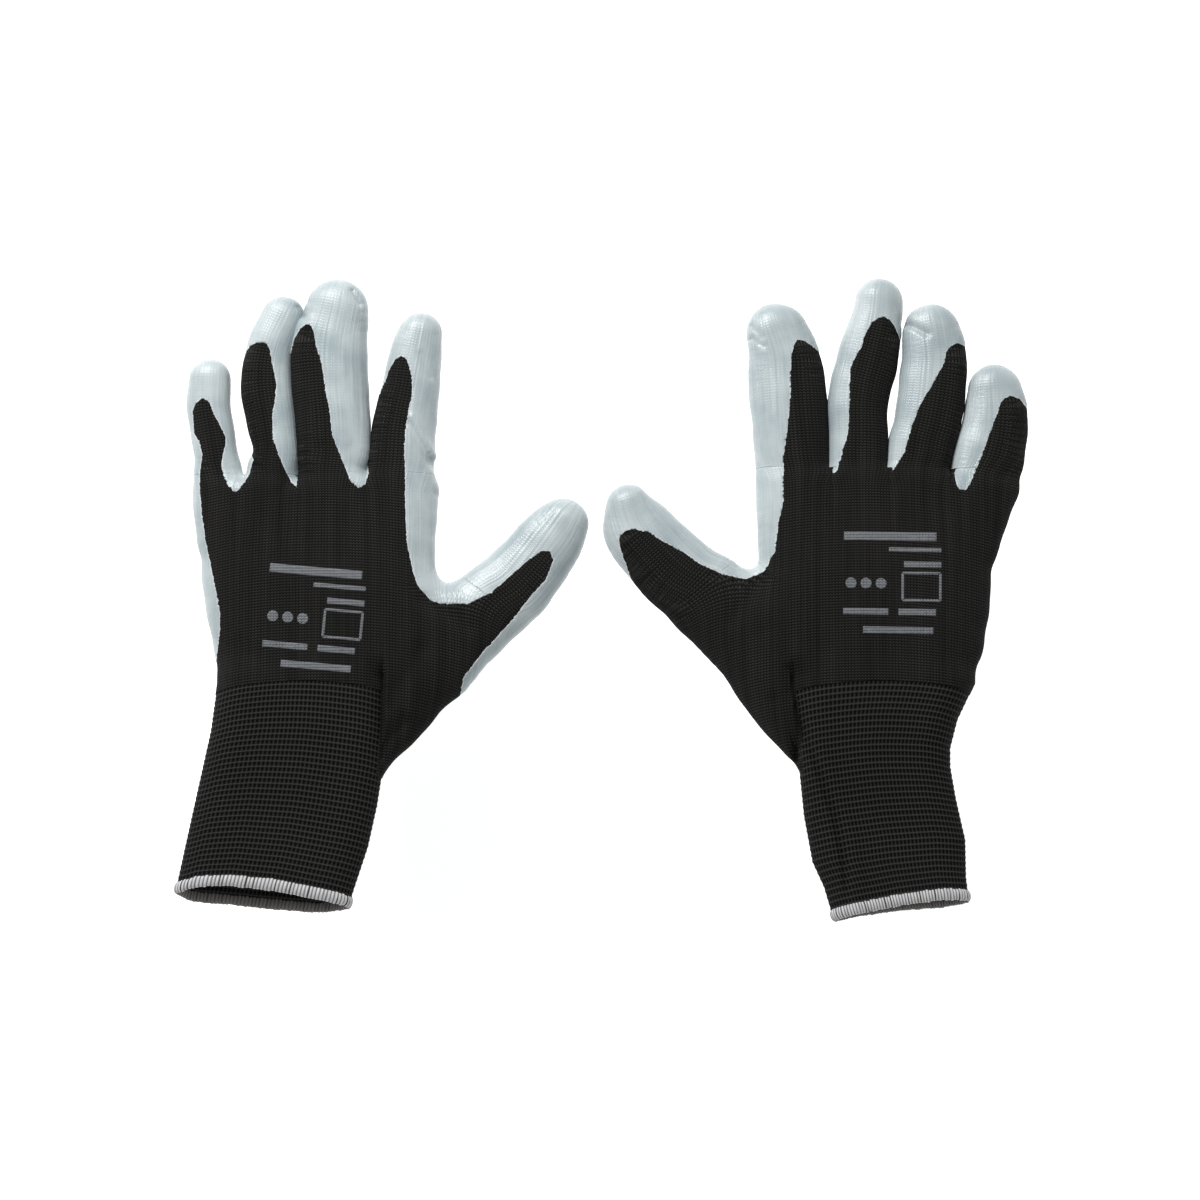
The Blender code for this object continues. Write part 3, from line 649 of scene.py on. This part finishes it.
# millimetres into the coated area, below zero on bare knit; points on the underside are
# unrolled past the edge of their digit or of the hand before the outlines are read
def coatedBy(side, glove, names, points, random):
    x, y, z = points.T
    edge, table, step = coatEdge, glove["table"], coatEdge["slopeStep"]
    pick, place = nearestDigit(glove, names, points)
    s = readTable(table, x, y)
    slope = np.stack([readTable(table, x + step, y) - readTable(table, x - step, y),
                      readTable(table, x, y + step) - readTable(table, x, y - step)], 1)
    slope /= np.maximum(np.hypot(*slope.T), 1e-6)[:, None]
    out, _ = thumbPlace(side, points)
    onHand = y < glove["split"] + 0.5
    onDigit = (y > glove["split"] - 2) | ((out > 2) & (place["q"] < 1.2))
    stretch = 2 / np.maximum(place["q"], 0.02) - 1
    byDigit = np.stack([place["cx"] + (x - place["cx"]) * stretch,
                        place["cy"] + (y - place["cy"]) * stretch], 1)
    byHand = points[:, :2] - 2 * np.maximum(s, 0)[:, None] * slope
    unrolled = np.where(onDigit[:, None], byDigit, byHand)
    mid = np.where(onDigit, place["mid"], handSize["mid"])
    at = np.where((z < mid)[:, None], unrolled, points[:, :2])
    bare = insideDistance(at[:, 0], at[:, 1], np.array(glove["window"], float))
    for i, name in enumerate(names):
        if name in glove["tongues"]:
            own = insideDistance(at[:, 0], at[:, 1], np.array(glove["tongues"][name], float))
            bare = np.where((pick == i) | (onHand & (z > mid)), np.maximum(bare, own), bare)
    middle = np.where(onDigit, place["q"] < edge["digitMiddle"], s > edge["handMiddle"])
    bare = np.where(middle & (z < mid), -edge["deep"], bare)
    coated = (-bare + random.normal(0, edge["ragged"], len(x))
              + edge["wave"] * np.sin(x / 1.1 + y / 0.7) * np.sin(y / 1.3))
    atSide = smoothStep((edge["endLonger"] - pastCuff(glove, x, y)) / edge["endOver"])
    return np.minimum(coated, y + edge["end"] + edge["endLonger"] * atSide)


class Nodes:
    def __init__(self, name):
        self.material = bpy.data.materials.new(name)
        self.material.use_nodes = True
        self.tree = self.material.node_tree

    # puts a number or a colour on a socket, or links another node's output to it
    def put(self, socket, value):
        if isinstance(value, (int, float, tuple)):
            socket.default_value = value
        elif value is not None:
            self.tree.links.new(value, socket)

    def new(self, kind, inputs={}, **settings):
        node = self.tree.nodes.new(kind)
        for key, value in settings.items():
            setattr(node, key, value)
        for key, value in inputs.items():
            self.put(node.inputs[key], value)
        return node

    def math(self, operation, a, b=None, clamp=False):
        node = self.new("ShaderNodeMath", {0: a, 1: b}, operation=operation, use_clamp=clamp)
        return node.outputs[0]

    def plus(self, a, b):
        return self.math("ADD", a, b)

    def minus(self, a, b, clamp=False):
        return self.math("SUBTRACT", a, b, clamp)

    def times(self, a, b, clamp=False):
        return self.math("MULTIPLY", a, b, clamp)

    def power(self, a, b):
        return self.math("POWER", a, b)

    # a wave between 0 and 1 that repeats once a turn
    def wave(self, kind, turns):
        return self.plus(self.times(self.math(kind, self.times(turns, 2 * math.pi)), 0.5), 0.5)

    def noise(self, vector, scale, detail=2.0, rough=0.5):
        inputs = {"Vector": vector, "Scale": scale, "Detail": detail, "Roughness": rough}
        return self.new("ShaderNodeTexNoise", inputs).outputs["Fac"]

    # noise drawn out by a scale of its own along each direction of the knit
    def streaks(self, uv, across, along, detail):
        node = self.new("ShaderNodeMapping", {"Vector": uv, "Scale": (across, along, 1)})
        return self.noise(node.outputs["Vector"], 1.0, detail)

    def ramp(self, factor, stops):
        node = self.new("ShaderNodeValToRGB", {"Fac": factor})
        elements = node.color_ramp.elements
        while len(elements) < len(stops):
            elements.new(0.5)
        for element, (at, colour) in zip(elements, stops):
            element.position, element.color = at, (*colour, 1)
        return node.outputs["Color"]

    def mix(self, factor, a, b):
        a, b = ((*colour, 1) if isinstance(colour, tuple) else colour for colour in (a, b))
        return self.new("ShaderNodeMix", {0: factor, 6: a, 7: b}, data_type="RGBA").outputs[2]

    def bump(self, height, distance, strength, over=None):
        inputs = {"Height": height, "Distance": distance, "Strength": strength, "Normal": over}
        return self.new("ShaderNodeBump", inputs).outputs["Normal"]

    def attribute(self, name):
        return self.new("ShaderNodeAttribute", attribute_name=name).outputs["Fac"]

    def split(self, vector):
        return self.new("ShaderNodeSeparateXYZ", {0: vector}).outputs[:2]

    def uv(self):
        uv = self.new("ShaderNodeUVMap", uv_map="knit").outputs["UV"]
        return uv, *self.split(uv)

    def position(self):
        return self.new("ShaderNodeTexCoord").outputs["Object"]

    def finish(self, **values):
        shader = self.tree.nodes["Principled BSDF"]
        for key, value in values.items():
            self.put(shader.inputs[key.replace("_", " ")], value)
        return self.material


stitch = {"wale": 1.25, "course": 1.15, "slant": 0.5, "groove": 5.0}


# plain knit: rows of slanted yarn legs that meet in a V down the middle of each wale. u and v
# are in millimetres times unit
def stitchHeight(n, u, v, unit=1):
    across = n.math("FRACT", n.math("DIVIDE", u, stitch["wale"] * unit))
    side = n.times(n.math("ABSOLUTE", n.minus(across, 0.5)), 2.0)
    row = n.math("DIVIDE", v, stitch["course"] * unit)
    wave = n.wave("SINE", n.plus(row, n.times(side, stitch["slant"])))
    return n.times(wave, n.minus(1.0, n.power(side, stitch["groove"])))


matt = {"Sheen_Weight": 0.015, "Sheen_Roughness": 0.5, "Specular_IOR_Level": 0.06}
# dark is the painted shade in the grooves between the yarn legs; light is the black yarn with a
# painted highlight on the stitch crests
knitFinish = {"dark": (0.0012, 0.0012, 0.0012), "light": (0.035, 0.0341, 0.0322),
              "depth": 0.00035, "fuzz": 2600, "fuzzDepth": 0.00012, "roughness": 0.82}


def makeKnit(name):
    n, finish = Nodes(name), knitFinish
    uv, u, v = n.uv()
    height = stitchHeight(n, u, v)
    wales = n.streaks(uv, 0.34, 0.012, 3)
    fuzz = n.noise(n.position(), finish["fuzz"], 3, 0.7)
    # painted highlight and shade: the colour follows the stitch height, lighter on the crests and
    # darker in the grooves; the fuzz and the wale streaks are random tone of the yarn itself
    light = n.plus(n.times(n.power(height, 1.5), 0.75), n.times(fuzz, 0.16))
    light = n.times(light, n.plus(n.times(wales, 1.5), 0.25), clamp=True)
    relief = n.bump(height, finish["depth"], 0.9, n.bump(fuzz, finish["fuzzDepth"], 0.5))
    return n.finish(Base_Color=n.mix(light, finish["dark"], finish["light"]), Normal=relief,
                    Roughness=finish["roughness"], **matt)


# rim: the pale line at its edge; depths are in metres
coatFinish = {"shade": (0.27, 0.325, 0.345), "light": (0.425, 0.475, 0.484),
              "stops": (0.36, 0.64), "cloud": 55, "rim": (0.56, 0.59, 0.59), "rimWidth": 0.5,
              "specks": 1900, "speckWidth": 2.2, "roughness": 0.29, "stitchDepth": 0.00016,
              "lineDepth": 0.0006, "grain": 1500, "grainDepth": 0.00012}


def makeCoating(name):
    n, finish = Nodes(name), coatFinish
    uv, u, v = n.uv()
    place = n.position()
    cloud = n.noise(place, finish["cloud"], 3)
    grain = n.noise(place, finish["grain"], 4, 0.7)
    lines = n.streaks(uv, 1.1, 0.03, 2)
    stops = list(zip(finish["stops"], (finish["shade"], finish["light"])))
    colour = n.ramp(n.plus(n.times(cloud, 0.7), n.times(lines, 0.3)), stops)
    inward = n.attribute("rim")
    rim = n.minus(1.0, n.math("DIVIDE", inward, finish["rimWidth"]), clamp=True)
    near = n.minus(1.0, n.math("DIVIDE", inward, finish["speckWidth"]), clamp=True)
    specks = n.math("GREATER_THAN", n.noise(place, finish["specks"], 1), 0.6)
    rim = n.math("MAXIMUM", n.times(rim, 0.75), n.times(specks, n.times(near, 0.5)))
    patches = n.times(n.noise(place, 90, 2), 1.2, clamp=True)
    relief = n.bump(grain, finish["grainDepth"], 0.35)
    relief = n.bump(lines, finish["lineDepth"], 0.5, relief)
    shows = n.times(stitchHeight(n, u, v), patches)
    relief = n.bump(shows, finish["stitchDepth"], 0.5, relief)
    gloss = n.plus(n.times(cloud, 0.16), finish["roughness"] - 0.06)
    return n.finish(Base_Color=n.mix(rim, colour, finish["rim"]), Normal=relief,
                    Roughness=gloss, Specular_IOR_Level=0.5, Sheen_Weight=0.05)


# dark is the painted shade between the rows and in the holes; yarn is the black yarn with a painted
# highlight on the rows
ribFinish = {"dark": (0.001, 0.001, 0.001), "yarn": (0.045, 0.044, 0.042), "depth": 0.0002,
             "fuzz": 2400}


# one unit of v is a row of the rib and one of u is a column
def makeRib(name):
    n, finish = Nodes(name), ribFinish
    uv, u, v = n.uv()
    # painted highlight and shade: lines along the row crests and the columns are painted lighter and
    # the holes between them darker; the strand streaks are the yarn's own tone
    columns = n.wave("COSINE", u)
    line = n.power(n.wave("COSINE", v), 4.0)
    bars = n.times(n.power(columns, 2.5), 0.5)
    strands = n.streaks(uv, 2.0, 9.0, 2)
    light = n.math("MAXIMUM", n.times(line, n.plus(n.times(columns, 0.4), 0.6)), bars)
    light = n.times(light, n.plus(n.times(strands, 0.9), 0.4), clamp=True)
    fuzz = n.noise(n.position(), finish["fuzz"], 3, 0.7)
    relief = n.bump(n.plus(light, n.times(fuzz, 0.3)), finish["depth"], 0.6)
    return n.finish(Base_Color=n.mix(light, finish["dark"], finish["yarn"]), Normal=relief,
                    Roughness=0.85, **matt)


# inside is painted shade for the half of the roll turned into the cuff
hemFinish = {"inside": (0.06, 0.053, 0.047), "gap": (0.02, 0.02, 0.021),
             "thread": (0.3, 0.3, 0.31), "bright": (0.62, 0.62, 0.62), "depth": 0.0002}


# one unit of u is a thread, and v runs from 0 to 4 round the roll, its inner half above 2; that
# half, turned into the cuff, is painted dark brown as shade
def makeHemThread(name):
    n, finish = Nodes(name), hemFinish
    uv, u, v = n.uv()
    thread = n.math("ABSOLUTE", n.math("SINE", n.times(u, math.pi)))
    strands = n.streaks(uv, 7.0, 1.2, 3)
    gap = n.math("GREATER_THAN", n.streaks(uv, 0.6, 0.05, 2), 0.56)
    # painted highlight: each thread is painted lighter towards its crest, up to the bright colour;
    # the strand streaks are the thread's own tone
    light = n.times(n.power(thread, 0.6), n.plus(n.times(strands, 0.8), 0.45))
    light = n.minus(light, n.times(gap, n.minus(1.0, thread)), clamp=True)
    stops = [(0.05, finish["gap"]), (0.55, finish["thread"]), (1.0, finish["bright"])]
    # painted shade: the half of the roll turned into the cuff is mixed towards the dark inside
    # colour
    inside = n.times(n.math("GREATER_THAN", v, 2.0), 0.8)
    relief = n.bump(n.plus(thread, strands), finish["depth"], 0.6)
    return n.finish(Base_Color=n.mix(inside, n.ramp(light, stops), finish["inside"]),
                    Normal=relief, Roughness=0.6, Sheen_Weight=0.2, Specular_IOR_Level=0.35)


inkFinish = {"worn": (0.012, 0.013, 0.014), "full": (0.15, 0.16, 0.175), "depth": 0.0001}


# ink that the stitches below break up
def makeInk(name):
    n, finish = Nodes(name), inkFinish
    place = n.position()
    stitches = stitchHeight(n, *n.split(place), unit=mm)
    wear = n.plus(n.times(n.noise(place, 900, 3, 0.6), 0.5), n.times(stitches, 0.5))
    colour = n.ramp(wear, [(0.22, finish["worn"]), (0.62, finish["full"])])
    return n.finish(Base_Color=colour, Normal=n.bump(wear, finish["depth"], 0.6),
                    Roughness=0.6)


knit, coating = makeKnit("black knit"), makeCoating("satin grey coating")
rib, hemThread, ink = makeRib("black rib"), makeHemThread("grey hem thread"), makeInk("grey print")


def unit(v):
    return v / np.maximum(np.linalg.norm(v, axis=-1, keepdims=True), 1e-9)


# the thickness of the liner's wall and of the coating's wall, in millimetres
wallSize = {"liner": 0.8, "coating": 0.35}
coat = {"thick": 0.42, "start": 0.05, "rise": 1.5}


def bendAtWrist(piece):
    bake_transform(piece)


# a liner piece, and over it the coating piece cut back to its outline and stood off the knit,
# rising from its edge to its full thickness
def makeKnitPair(side, glove, part, names, points, faces, random):
    normals = unit(slopeAt(glove, names, points))
    uv = knitUv(side, glove, names, points)
    liner = makePiece(f"{side}_{part}_knit", points, faces, knit, uv, normals=normals)
    addWall(liner, wallSize["liner"])
    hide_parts(f"{side}_{part}_liner")
    depth = coatedBy(side, glove, names, points, random)
    carried = np.hstack([normals, uv, depth[:, None]])
    points, faces, carried = clipMesh(points, faces, depth, carried)
    normals, uv, rim = unit(carried[:, :3]), carried[:, 3:5], carried[:, 5]
    lift = coat["start"] + (coat["thick"] - coat["start"]) * smoothStep(rim / coat["rise"])
    skin = makePiece(f"{side}_{part}_coat", points + normals * lift[:, None], faces, coating,
                     uv, {"rim": rim}, normals=normals)
    addWall(skin, wallSize["coating"])
    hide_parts(f"{side}_palm_coating" if part == "hand" else f"{side}_{part}_coating")
    return liner, skin


# the boxes that are sampled, and how far the knit goes under the rib
handBox = {"side": 34, "bottom": -74, "past": 4, "low": -1.5, "high": 23}
digitBox = {"before": 3, "low": -1.5, "high": 21}
underRib = {"overlap": 3, "side": 1.9, "end": 72}


def makeHand(side, glove, random):
    box, (left, right) = handBox, glove["outlineBox"]
    low = (left - box["side"], box["bottom"], box["low"])
    high = (right + box["side"], glove["split"] + box["past"], box["high"])
    points, faces = fieldSurface(glove, allDigits, low, high)
    points, faces, _ = clipMesh(points, faces, glove["split"] - points[:, 1])
    points, faces, _ = clipMesh(points, faces, -inThumb(side, glove, points))
    x, y, _ = points.T
    left, right = cuffSides(glove["cuff"], y)
    share = np.clip(2 * (x - left) / (right - left) - 1, -1, 1)
    aboveRib = y - cuffTopAt(share) + underRib["overlap"]
    points, faces, _ = clipMesh(points, faces,
                                np.maximum(aboveRib, underRib["side"] - pastCuff(glove, x, y)))
    points, faces, _ = clipMesh(points, faces, points[:, 1] + underRib["end"])
    for piece in makeKnitPair(side, glove, "hand", allDigits, points, faces, random):
        bendAtWrist(piece)


def makeDigit(side, glove, name, random):
    isThumb, digit, box = name == "thumb", glove["digits"][name], digitBox
    left, right, bottom, top = digit["reach"]
    low = (left, bottom if isThumb else glove["split"] - box["before"], box["low"])
    points, faces = fieldSurface(glove, [name], low, (right, top, box["high"]))
    if isThumb:
        ours = inThumb(side, glove, points)
    else:
        ours = points[:, 1] - glove["split"]
    points, faces, _ = clipMesh(points, faces, ours)
    for piece in makeKnitPair(side, glove, name, [name], points, faces, random):
        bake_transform(piece)


cuffSize = {"top": -35.5, "arc": 4, "columns": 92, "rows": 38, "perColumn": 4, "perRow": 5,
            "wall": 1.3, "yarn": 0.2, "hole": 0.22, "innerRows": 12, "halfWide": 36,
            "halfThick": 9, "ground": 0.9}
hemSize = {"threads": 104, "perThread": 8, "tall": 2.3, "thick": 1.25, "round": 20,
           "ridge": 0.22, "loose": 0.04, "looseTall": 0.07, "sunk": 0.35}
pleat = {"dip": 1.7, "dipWidth": 1.5, "swell": 0.9, "swellWidth": 3, "swellAt": 4.5}


# one turn round a flattened tube with quarter circles at its edges, evenly spaced: the share
# across (-1 to 1) and the share up
def cuffSection(count):
    turn = np.linspace(0, math.pi / 2, 60)
    flat = cuffBody["round"] / cuffSize["halfWide"]
    across, up = 1 - flat * (1 - np.cos(turn)), np.sin(turn)
    across = np.concatenate([across, -across[::-1], -across, across[::-1]])
    up = np.concatenate([up, up[::-1], -up, -up[::-1]])
    steps = np.hypot(np.diff(across) * cuffSize["halfWide"], np.diff(up) * cuffSize["halfThick"])
    run = np.concatenate([[0], np.cumsum(steps)])
    at = np.arange(count) / count * run[-1]
    return np.interp(at, run, across), np.interp(at, run, up)


# the first rib row climbs a little towards the middle of the back
def cuffTopAt(across):
    return cuffSize["top"] + cuffSize["arc"] * (1 - across ** 2)


# the cuff's middle surface: y goes from top to mouth by t, x from edge to edge by the share
# across; z is the middle height plus half the thickness times the share up, plus shallow sine
# waves, less a bell-shaped dip along the pleat and plus a swell beside it
def cuffSurface(cuff, across, up, t):
    back, palm = (np.array(cuff[key]) for key in ("backMouth", "palmMouth"))
    mouth = np.interp(across, back[:, 0], back[:, 1]) * (up * 0.5 + 0.5)
    mouth = mouth + np.interp(across, palm[:, 0], palm[:, 1]) * (0.5 - up * 0.5)
    top = cuffTopAt(across)
    y = top + (mouth - top) * t
    left, right = cuffSides(cuff, y)
    half, mid = cuffThickness(cuff, y)
    x = (left + right) / 2 + across * (right - left) / 2
    z = mid + half * up
    waves = 0.3 * np.sin(x / 6 + y / 11) * np.sin(y / 9 - x / 17)
    z = z + waves * np.abs(up) * smoothStep(t * 8 - 0.5)
    if cuff["fold"]:
        fold = np.array(cuff["fold"])[::-1]
        away = x - np.interp(y, fold[:, 0], fold[:, 1])
        dip = pleat["dip"] * np.exp(-(away / pleat["dipWidth"]) ** 2)
        beside = (away - pleat["swellAt"]) / pleat["swellWidth"]
        dip = dip - pleat["swell"] * np.exp(-beside ** 2)
        z = z - dip * smoothStep(up * 2) * smoothStep((t - 0.02) * 8) * smoothStep((1.02 - t) * 6)
    return np.stack([x, y, smoothMax(z, handSize["rest"] + cuffSize["ground"], 2)], -1)


# quads over a grid whose rows and columns both close on themselves, with each corner's own
# row and column number so that a pattern runs on across the join
def gridFaces(rows, columns):
    i, j = plane(np.arange(rows), np.arange(columns))
    i, j = i.ravel(), j.ravel()
    ci = np.stack([i, i + 1, i + 1, i], 1)
    cj = np.stack([j, j, j + 1, j + 1], 1)
    return (ci % rows) * columns + cj % columns, ci.ravel(), cj.ravel()


# the normals of rings round the cuff, turned so that they point up on the back
def outwardOf(grid):
    around = np.roll(grid, -1, 1) - np.roll(grid, 1, 1)
    down = np.gradient(grid, axis=0)
    normals = unit(np.cross(down, around))
    onBack = normals[len(grid) // 2, grid.shape[1] // 4, 2]
    return normals if onBack > 0 else -normals


# rows stand up by their cosine squared, with a hole where neither a row nor a column passes;
# the lining is the same surface, inset
def makeCuff(side, glove):
    cuff, s = glove["cuff"], cuffSize
    columns = s["columns"] * s["perColumn"]
    across, up = cuffSection(columns)
    outer = np.linspace(0, 1, s["rows"] * s["perRow"] + 1)
    inner = np.linspace(1, 0, s["innerRows"])
    shell, lining = (cuffSurface(cuff, across[None], up[None], t[:, None])
                     for t in (outer, inner))
    row = 0.5 + 0.5 * np.cos(2 * math.pi * outer * s["rows"])[:, None]
    column = 0.5 + 0.5 * np.cos(2 * math.pi * np.arange(columns) / s["perColumn"])[None]
    relief = s["yarn"] * row ** 2 - s["hole"] * (1 - row) * (1 - column)
    relief = relief * smoothStep((outer * s["rows"] - 1) / 2)[:, None]
    shell = shell + outwardOf(shell) * relief[..., None]
    lining = lining - outwardOf(lining) * s["wall"]
    whole = np.concatenate([shell, lining])
    faces, ci, cj = gridFaces(len(whole), columns)
    rowAt = np.concatenate([outer, inner, [0]]) * s["rows"]
    uv = np.stack([cj / s["perColumn"], rowAt[ci]], 1)
    faces, uv = faceOut(whole.reshape(-1, 3), faces, uv)
    piece = makePiece(f"{side}_rib_cuff", whole.reshape(-1, 3), faces, rib, uv)
    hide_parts(f"{side}_cuff_rib")
    bendAtWrist(piece)


# turns every quad over if the closed mesh holds a negative volume
def faceOut(points, faces, uv):
    a, b, c, d = (points[faces[:, i]] for i in range(4))
    volume = (a * np.cross(b, c)).sum() + (a * np.cross(c, d)).sum()
    if volume > 0:
        return faces, uv
    return faces[:, ::-1], uv.reshape(-1, 4, 2)[:, ::-1].reshape(-1, 2)


# the overlocked edge: an ellipse, its cosine down the cuff and its sine out of it, carried
# round the mouth and swelling with each thread
def makeHem(side, glove, random):
    cuff, s = glove["cuff"], hemSize
    columns = s["threads"] * s["perThread"]
    across, up = cuffSection(columns)
    rings = cuffSurface(cuff, across[None], up[None], np.array([0.97, 0.985, 1.0])[:, None])
    out, down = outwardOf(rings)[2], unit(rings[2] - rings[1])
    turn = (np.arange(s["round"]) / s["round"] * 2 * math.pi)[:, None]
    thread = np.abs(np.sin(math.pi * np.arange(columns) / s["perThread"])) ** 0.7
    loose = np.repeat(random.normal(0, 1, s["threads"]), s["perThread"])
    ridge = s["ridge"] * (thread - 0.5) + s["loose"] * loose
    tall, thick = s["tall"] + ridge + s["looseTall"] * loose, s["thick"] + ridge
    roll = rings[2][None] + down[None] * (tall[None] * np.cos(turn))[..., None]
    roll = roll + out[None] * (thick[None] * np.sin(turn) - s["sunk"])[..., None]
    faces, ci, cj = gridFaces(s["round"], columns)
    uv = np.stack([cj / s["perThread"], ci / s["round"] * 4], 1)
    faces, uv = faceOut(roll.reshape(-1, 3), faces, uv)
    piece = makePiece(f"{side}_hem_roll", roll.reshape(-1, 3), faces, hemThread, uv)
    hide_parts(f"{side}_cuff_hem")
    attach(piece, f"{side}_cuff")


# plain printed marks. bars: left edge, centre height, width and height; dots: centre and
# radius; frames: left and lower edge, width, height and line
printed = {"bars": [(-20, 21, 37, 3.6), (-2, 15.6, 21, 1.8), (4, 9.6, 15, 2.4),
                    (-20, -9.8, 18, 2.6), (2, -9.8, 15, 2.6), (-12, -17.2, 28, 2.8)],
           "dots": [(-17, 1.6, 2.2), (-11, 1.6, 2.2), (-5, 1.6, 2.2)],
           "frames": [(3.6, -5, 15, 11, 1.1)],
           "above": 20.5, "drops": 8, "mostDrop": 1.5, "lift": 0.14, "thick": 0.1}


# each mark as a flat grid of x and y: a bar, a square pressed into a round, or a frame's side
def markGrids():
    grids = []
    for left, middle, wide, tall in printed["bars"]:
        grids.append(plane(np.linspace(left, left + wide, int(wide * 2)),
                           middle + np.linspace(-0.5, 0.5, 7) * tall))
    for cx, cy, size in printed["dots"]:
        u, v = plane(np.linspace(-1, 1, 12), np.linspace(-1, 1, 12))
        grids.append((cx + size * u * np.sqrt(1 - v * v / 2),
                      cy + size * v * np.sqrt(1 - u * u / 2)))
    for left, low, wide, tall, line in printed["frames"]:
        right, high = left + wide, low + tall
        corner = np.array([(left, low), (right, low), (right, high), (left, high)])
        for (ax, ay), (bx, by) in zip(corner, np.roll(corner, -1, 0)):
            t, w = plane(np.linspace(0, 1, 30), np.linspace(-0.5, 0.5, 4) * line)
            dx, dy = np.sign(bx - ax), np.sign(by - ay)
            grids.append((ax + (bx - ax) * t - dy * w, ay + (by - ay) * t + dx * w))
    return grids


# the marks, placed above the back and lowered by the field until they lie on it
def makePrint(side, glove):
    turn, (atX, atY) = math.radians(glove["print"]["turn"]), glove["print"]["centre"]
    cos, sin = math.cos(turn), math.sin(turn)
    points, faces, count = [], [], 0
    for x, y in markGrids():
        rows, columns = x.shape
        i, j = plane(np.arange(rows - 1), np.arange(columns - 1))
        first = (i * columns + j).ravel() + count
        flat = np.stack([atX + x * cos - y * sin, atY + x * sin + y * cos,
                         np.full(x.shape, printed["above"])], -1).reshape(-1, 3)
        points.append(flat)
        faces.append(np.stack([first, first + columns, first + columns + 1, first + 1], 1))
        count += len(flat)
    points, faces = np.vstack(points), np.vstack(faces)
    for _ in range(printed["drops"]):
        drop = fieldAt(glove, allDigits, points)
        points[:, 2] -= np.clip(drop, -printed["mostDrop"], printed["mostDrop"])
    points = points + unit(slopeAt(glove, allDigits, points)) * printed["lift"]
    a, b, c = (points[faces[:, i]] for i in (0, 1, 2))
    down = np.cross(b - a, c - a)[:, 2] < 0
    faces = np.where(down[:, None], faces[:, ::-1], faces)
    piece = makePiece(f"{side}_back_marks", points, faces, ink)
    addWall(piece, printed["thick"])
    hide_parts(f"{side}_size_print")
    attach(piece, f"{side}_hand")


for number, (side, glove) in enumerate(gloves.items()):
    random = np.random.default_rng(40 + number)
    prepareGlove(glove)
    makeHand(side, glove, random)
    print(side, "hand made")
    for name in allDigits:
        makeDigit(side, glove, name, random)
    print(side, "digits made")
    makeCuff(side, glove)
    makeHem(side, glove, random)
    makePrint(side, glove)
    print(side, "cuff, hem and marks made")


# floor: its height in metres; world: the brightness of the air; each lamp: place, size, watts
studio = {"floor": -0.095, "floorHalf": 4.0, "floorGlow": 0.5, "world": 0.54,
          "key": ((-0.5, 0.9, 0.85), 0.6, 19.0), "fill": ((0.8, -0.5, 1.0), 1.0, 1.5)}


def makeStage():
    mesh = bpy.data.meshes.new("floor")
    half = studio["floorHalf"]
    mesh.from_pydata([(-half, -half, 0), (half, -half, 0), (half, half, 0), (-half, half, 0)],
                     [], [(0, 1, 2, 3)])
    mesh.transform(Matrix.Translation((0, 0, studio["floor"])))
    floor = bpy.data.objects.new("floor", mesh)
    bpy.context.scene.collection.objects.link(floor)
    mesh.materials.append(Nodes("pale floor").finish(
        Base_Color=(0.95, 0.95, 0.95, 1), Roughness=0.9, Specular_IOR_Level=0.1,
        Emission_Color=(1, 1, 1, 1), Emission_Strength=studio["floorGlow"]))
    world = bpy.data.worlds.new("studio")
    world.use_nodes = True
    background = world.node_tree.nodes["Background"]
    background.inputs["Color"].default_value = (1, 1, 1, 1)
    background.inputs["Strength"].default_value = studio["world"]
    bpy.context.scene.world = world


# a round area lamp aimed at the middle of the gloves
def addLamp(name):
    at, size, power = studio[name]
    light = bpy.data.lights.new(name, "AREA")
    light.shape, light.size, light.energy = "DISK", size, power
    lamp = bpy.data.objects.new(name, light)
    lamp.location = at
    lamp.rotation_mode = "QUATERNION"
    lamp.rotation_quaternion = (-Vector(at)).to_track_quat("-Z", "Y")
    bpy.context.scene.collection.objects.link(lamp)


# wide: metres seen across the picture; rise: degrees above level; height: what it aims at
view = {"lens": 200, "sensor": 36, "wide": 0.480, "rise": 80, "height": 0.009}


def makeCamera():
    camera = bpy.data.cameras.new("camera")
    camera.lens, camera.sensor_width = view["lens"], view["sensor"]
    far, rise = view["wide"] * view["lens"] / view["sensor"], math.radians(view["rise"])
    body = bpy.data.objects.new("camera", camera)
    body.location = (0, -far * math.cos(rise), view["height"] + far * math.sin(rise))
    body.rotation_euler = (math.pi / 2 - rise, 0, 0)
    bpy.context.scene.collection.objects.link(body)
    bpy.context.scene.camera = body


makeStage()
addLamp("key")
addLamp("fill")
makeCamera()
print("stage, lamps and camera made")
bpy.context.scene.view_settings.view_transform = "Standard"
bpy.context.view_layer.update()
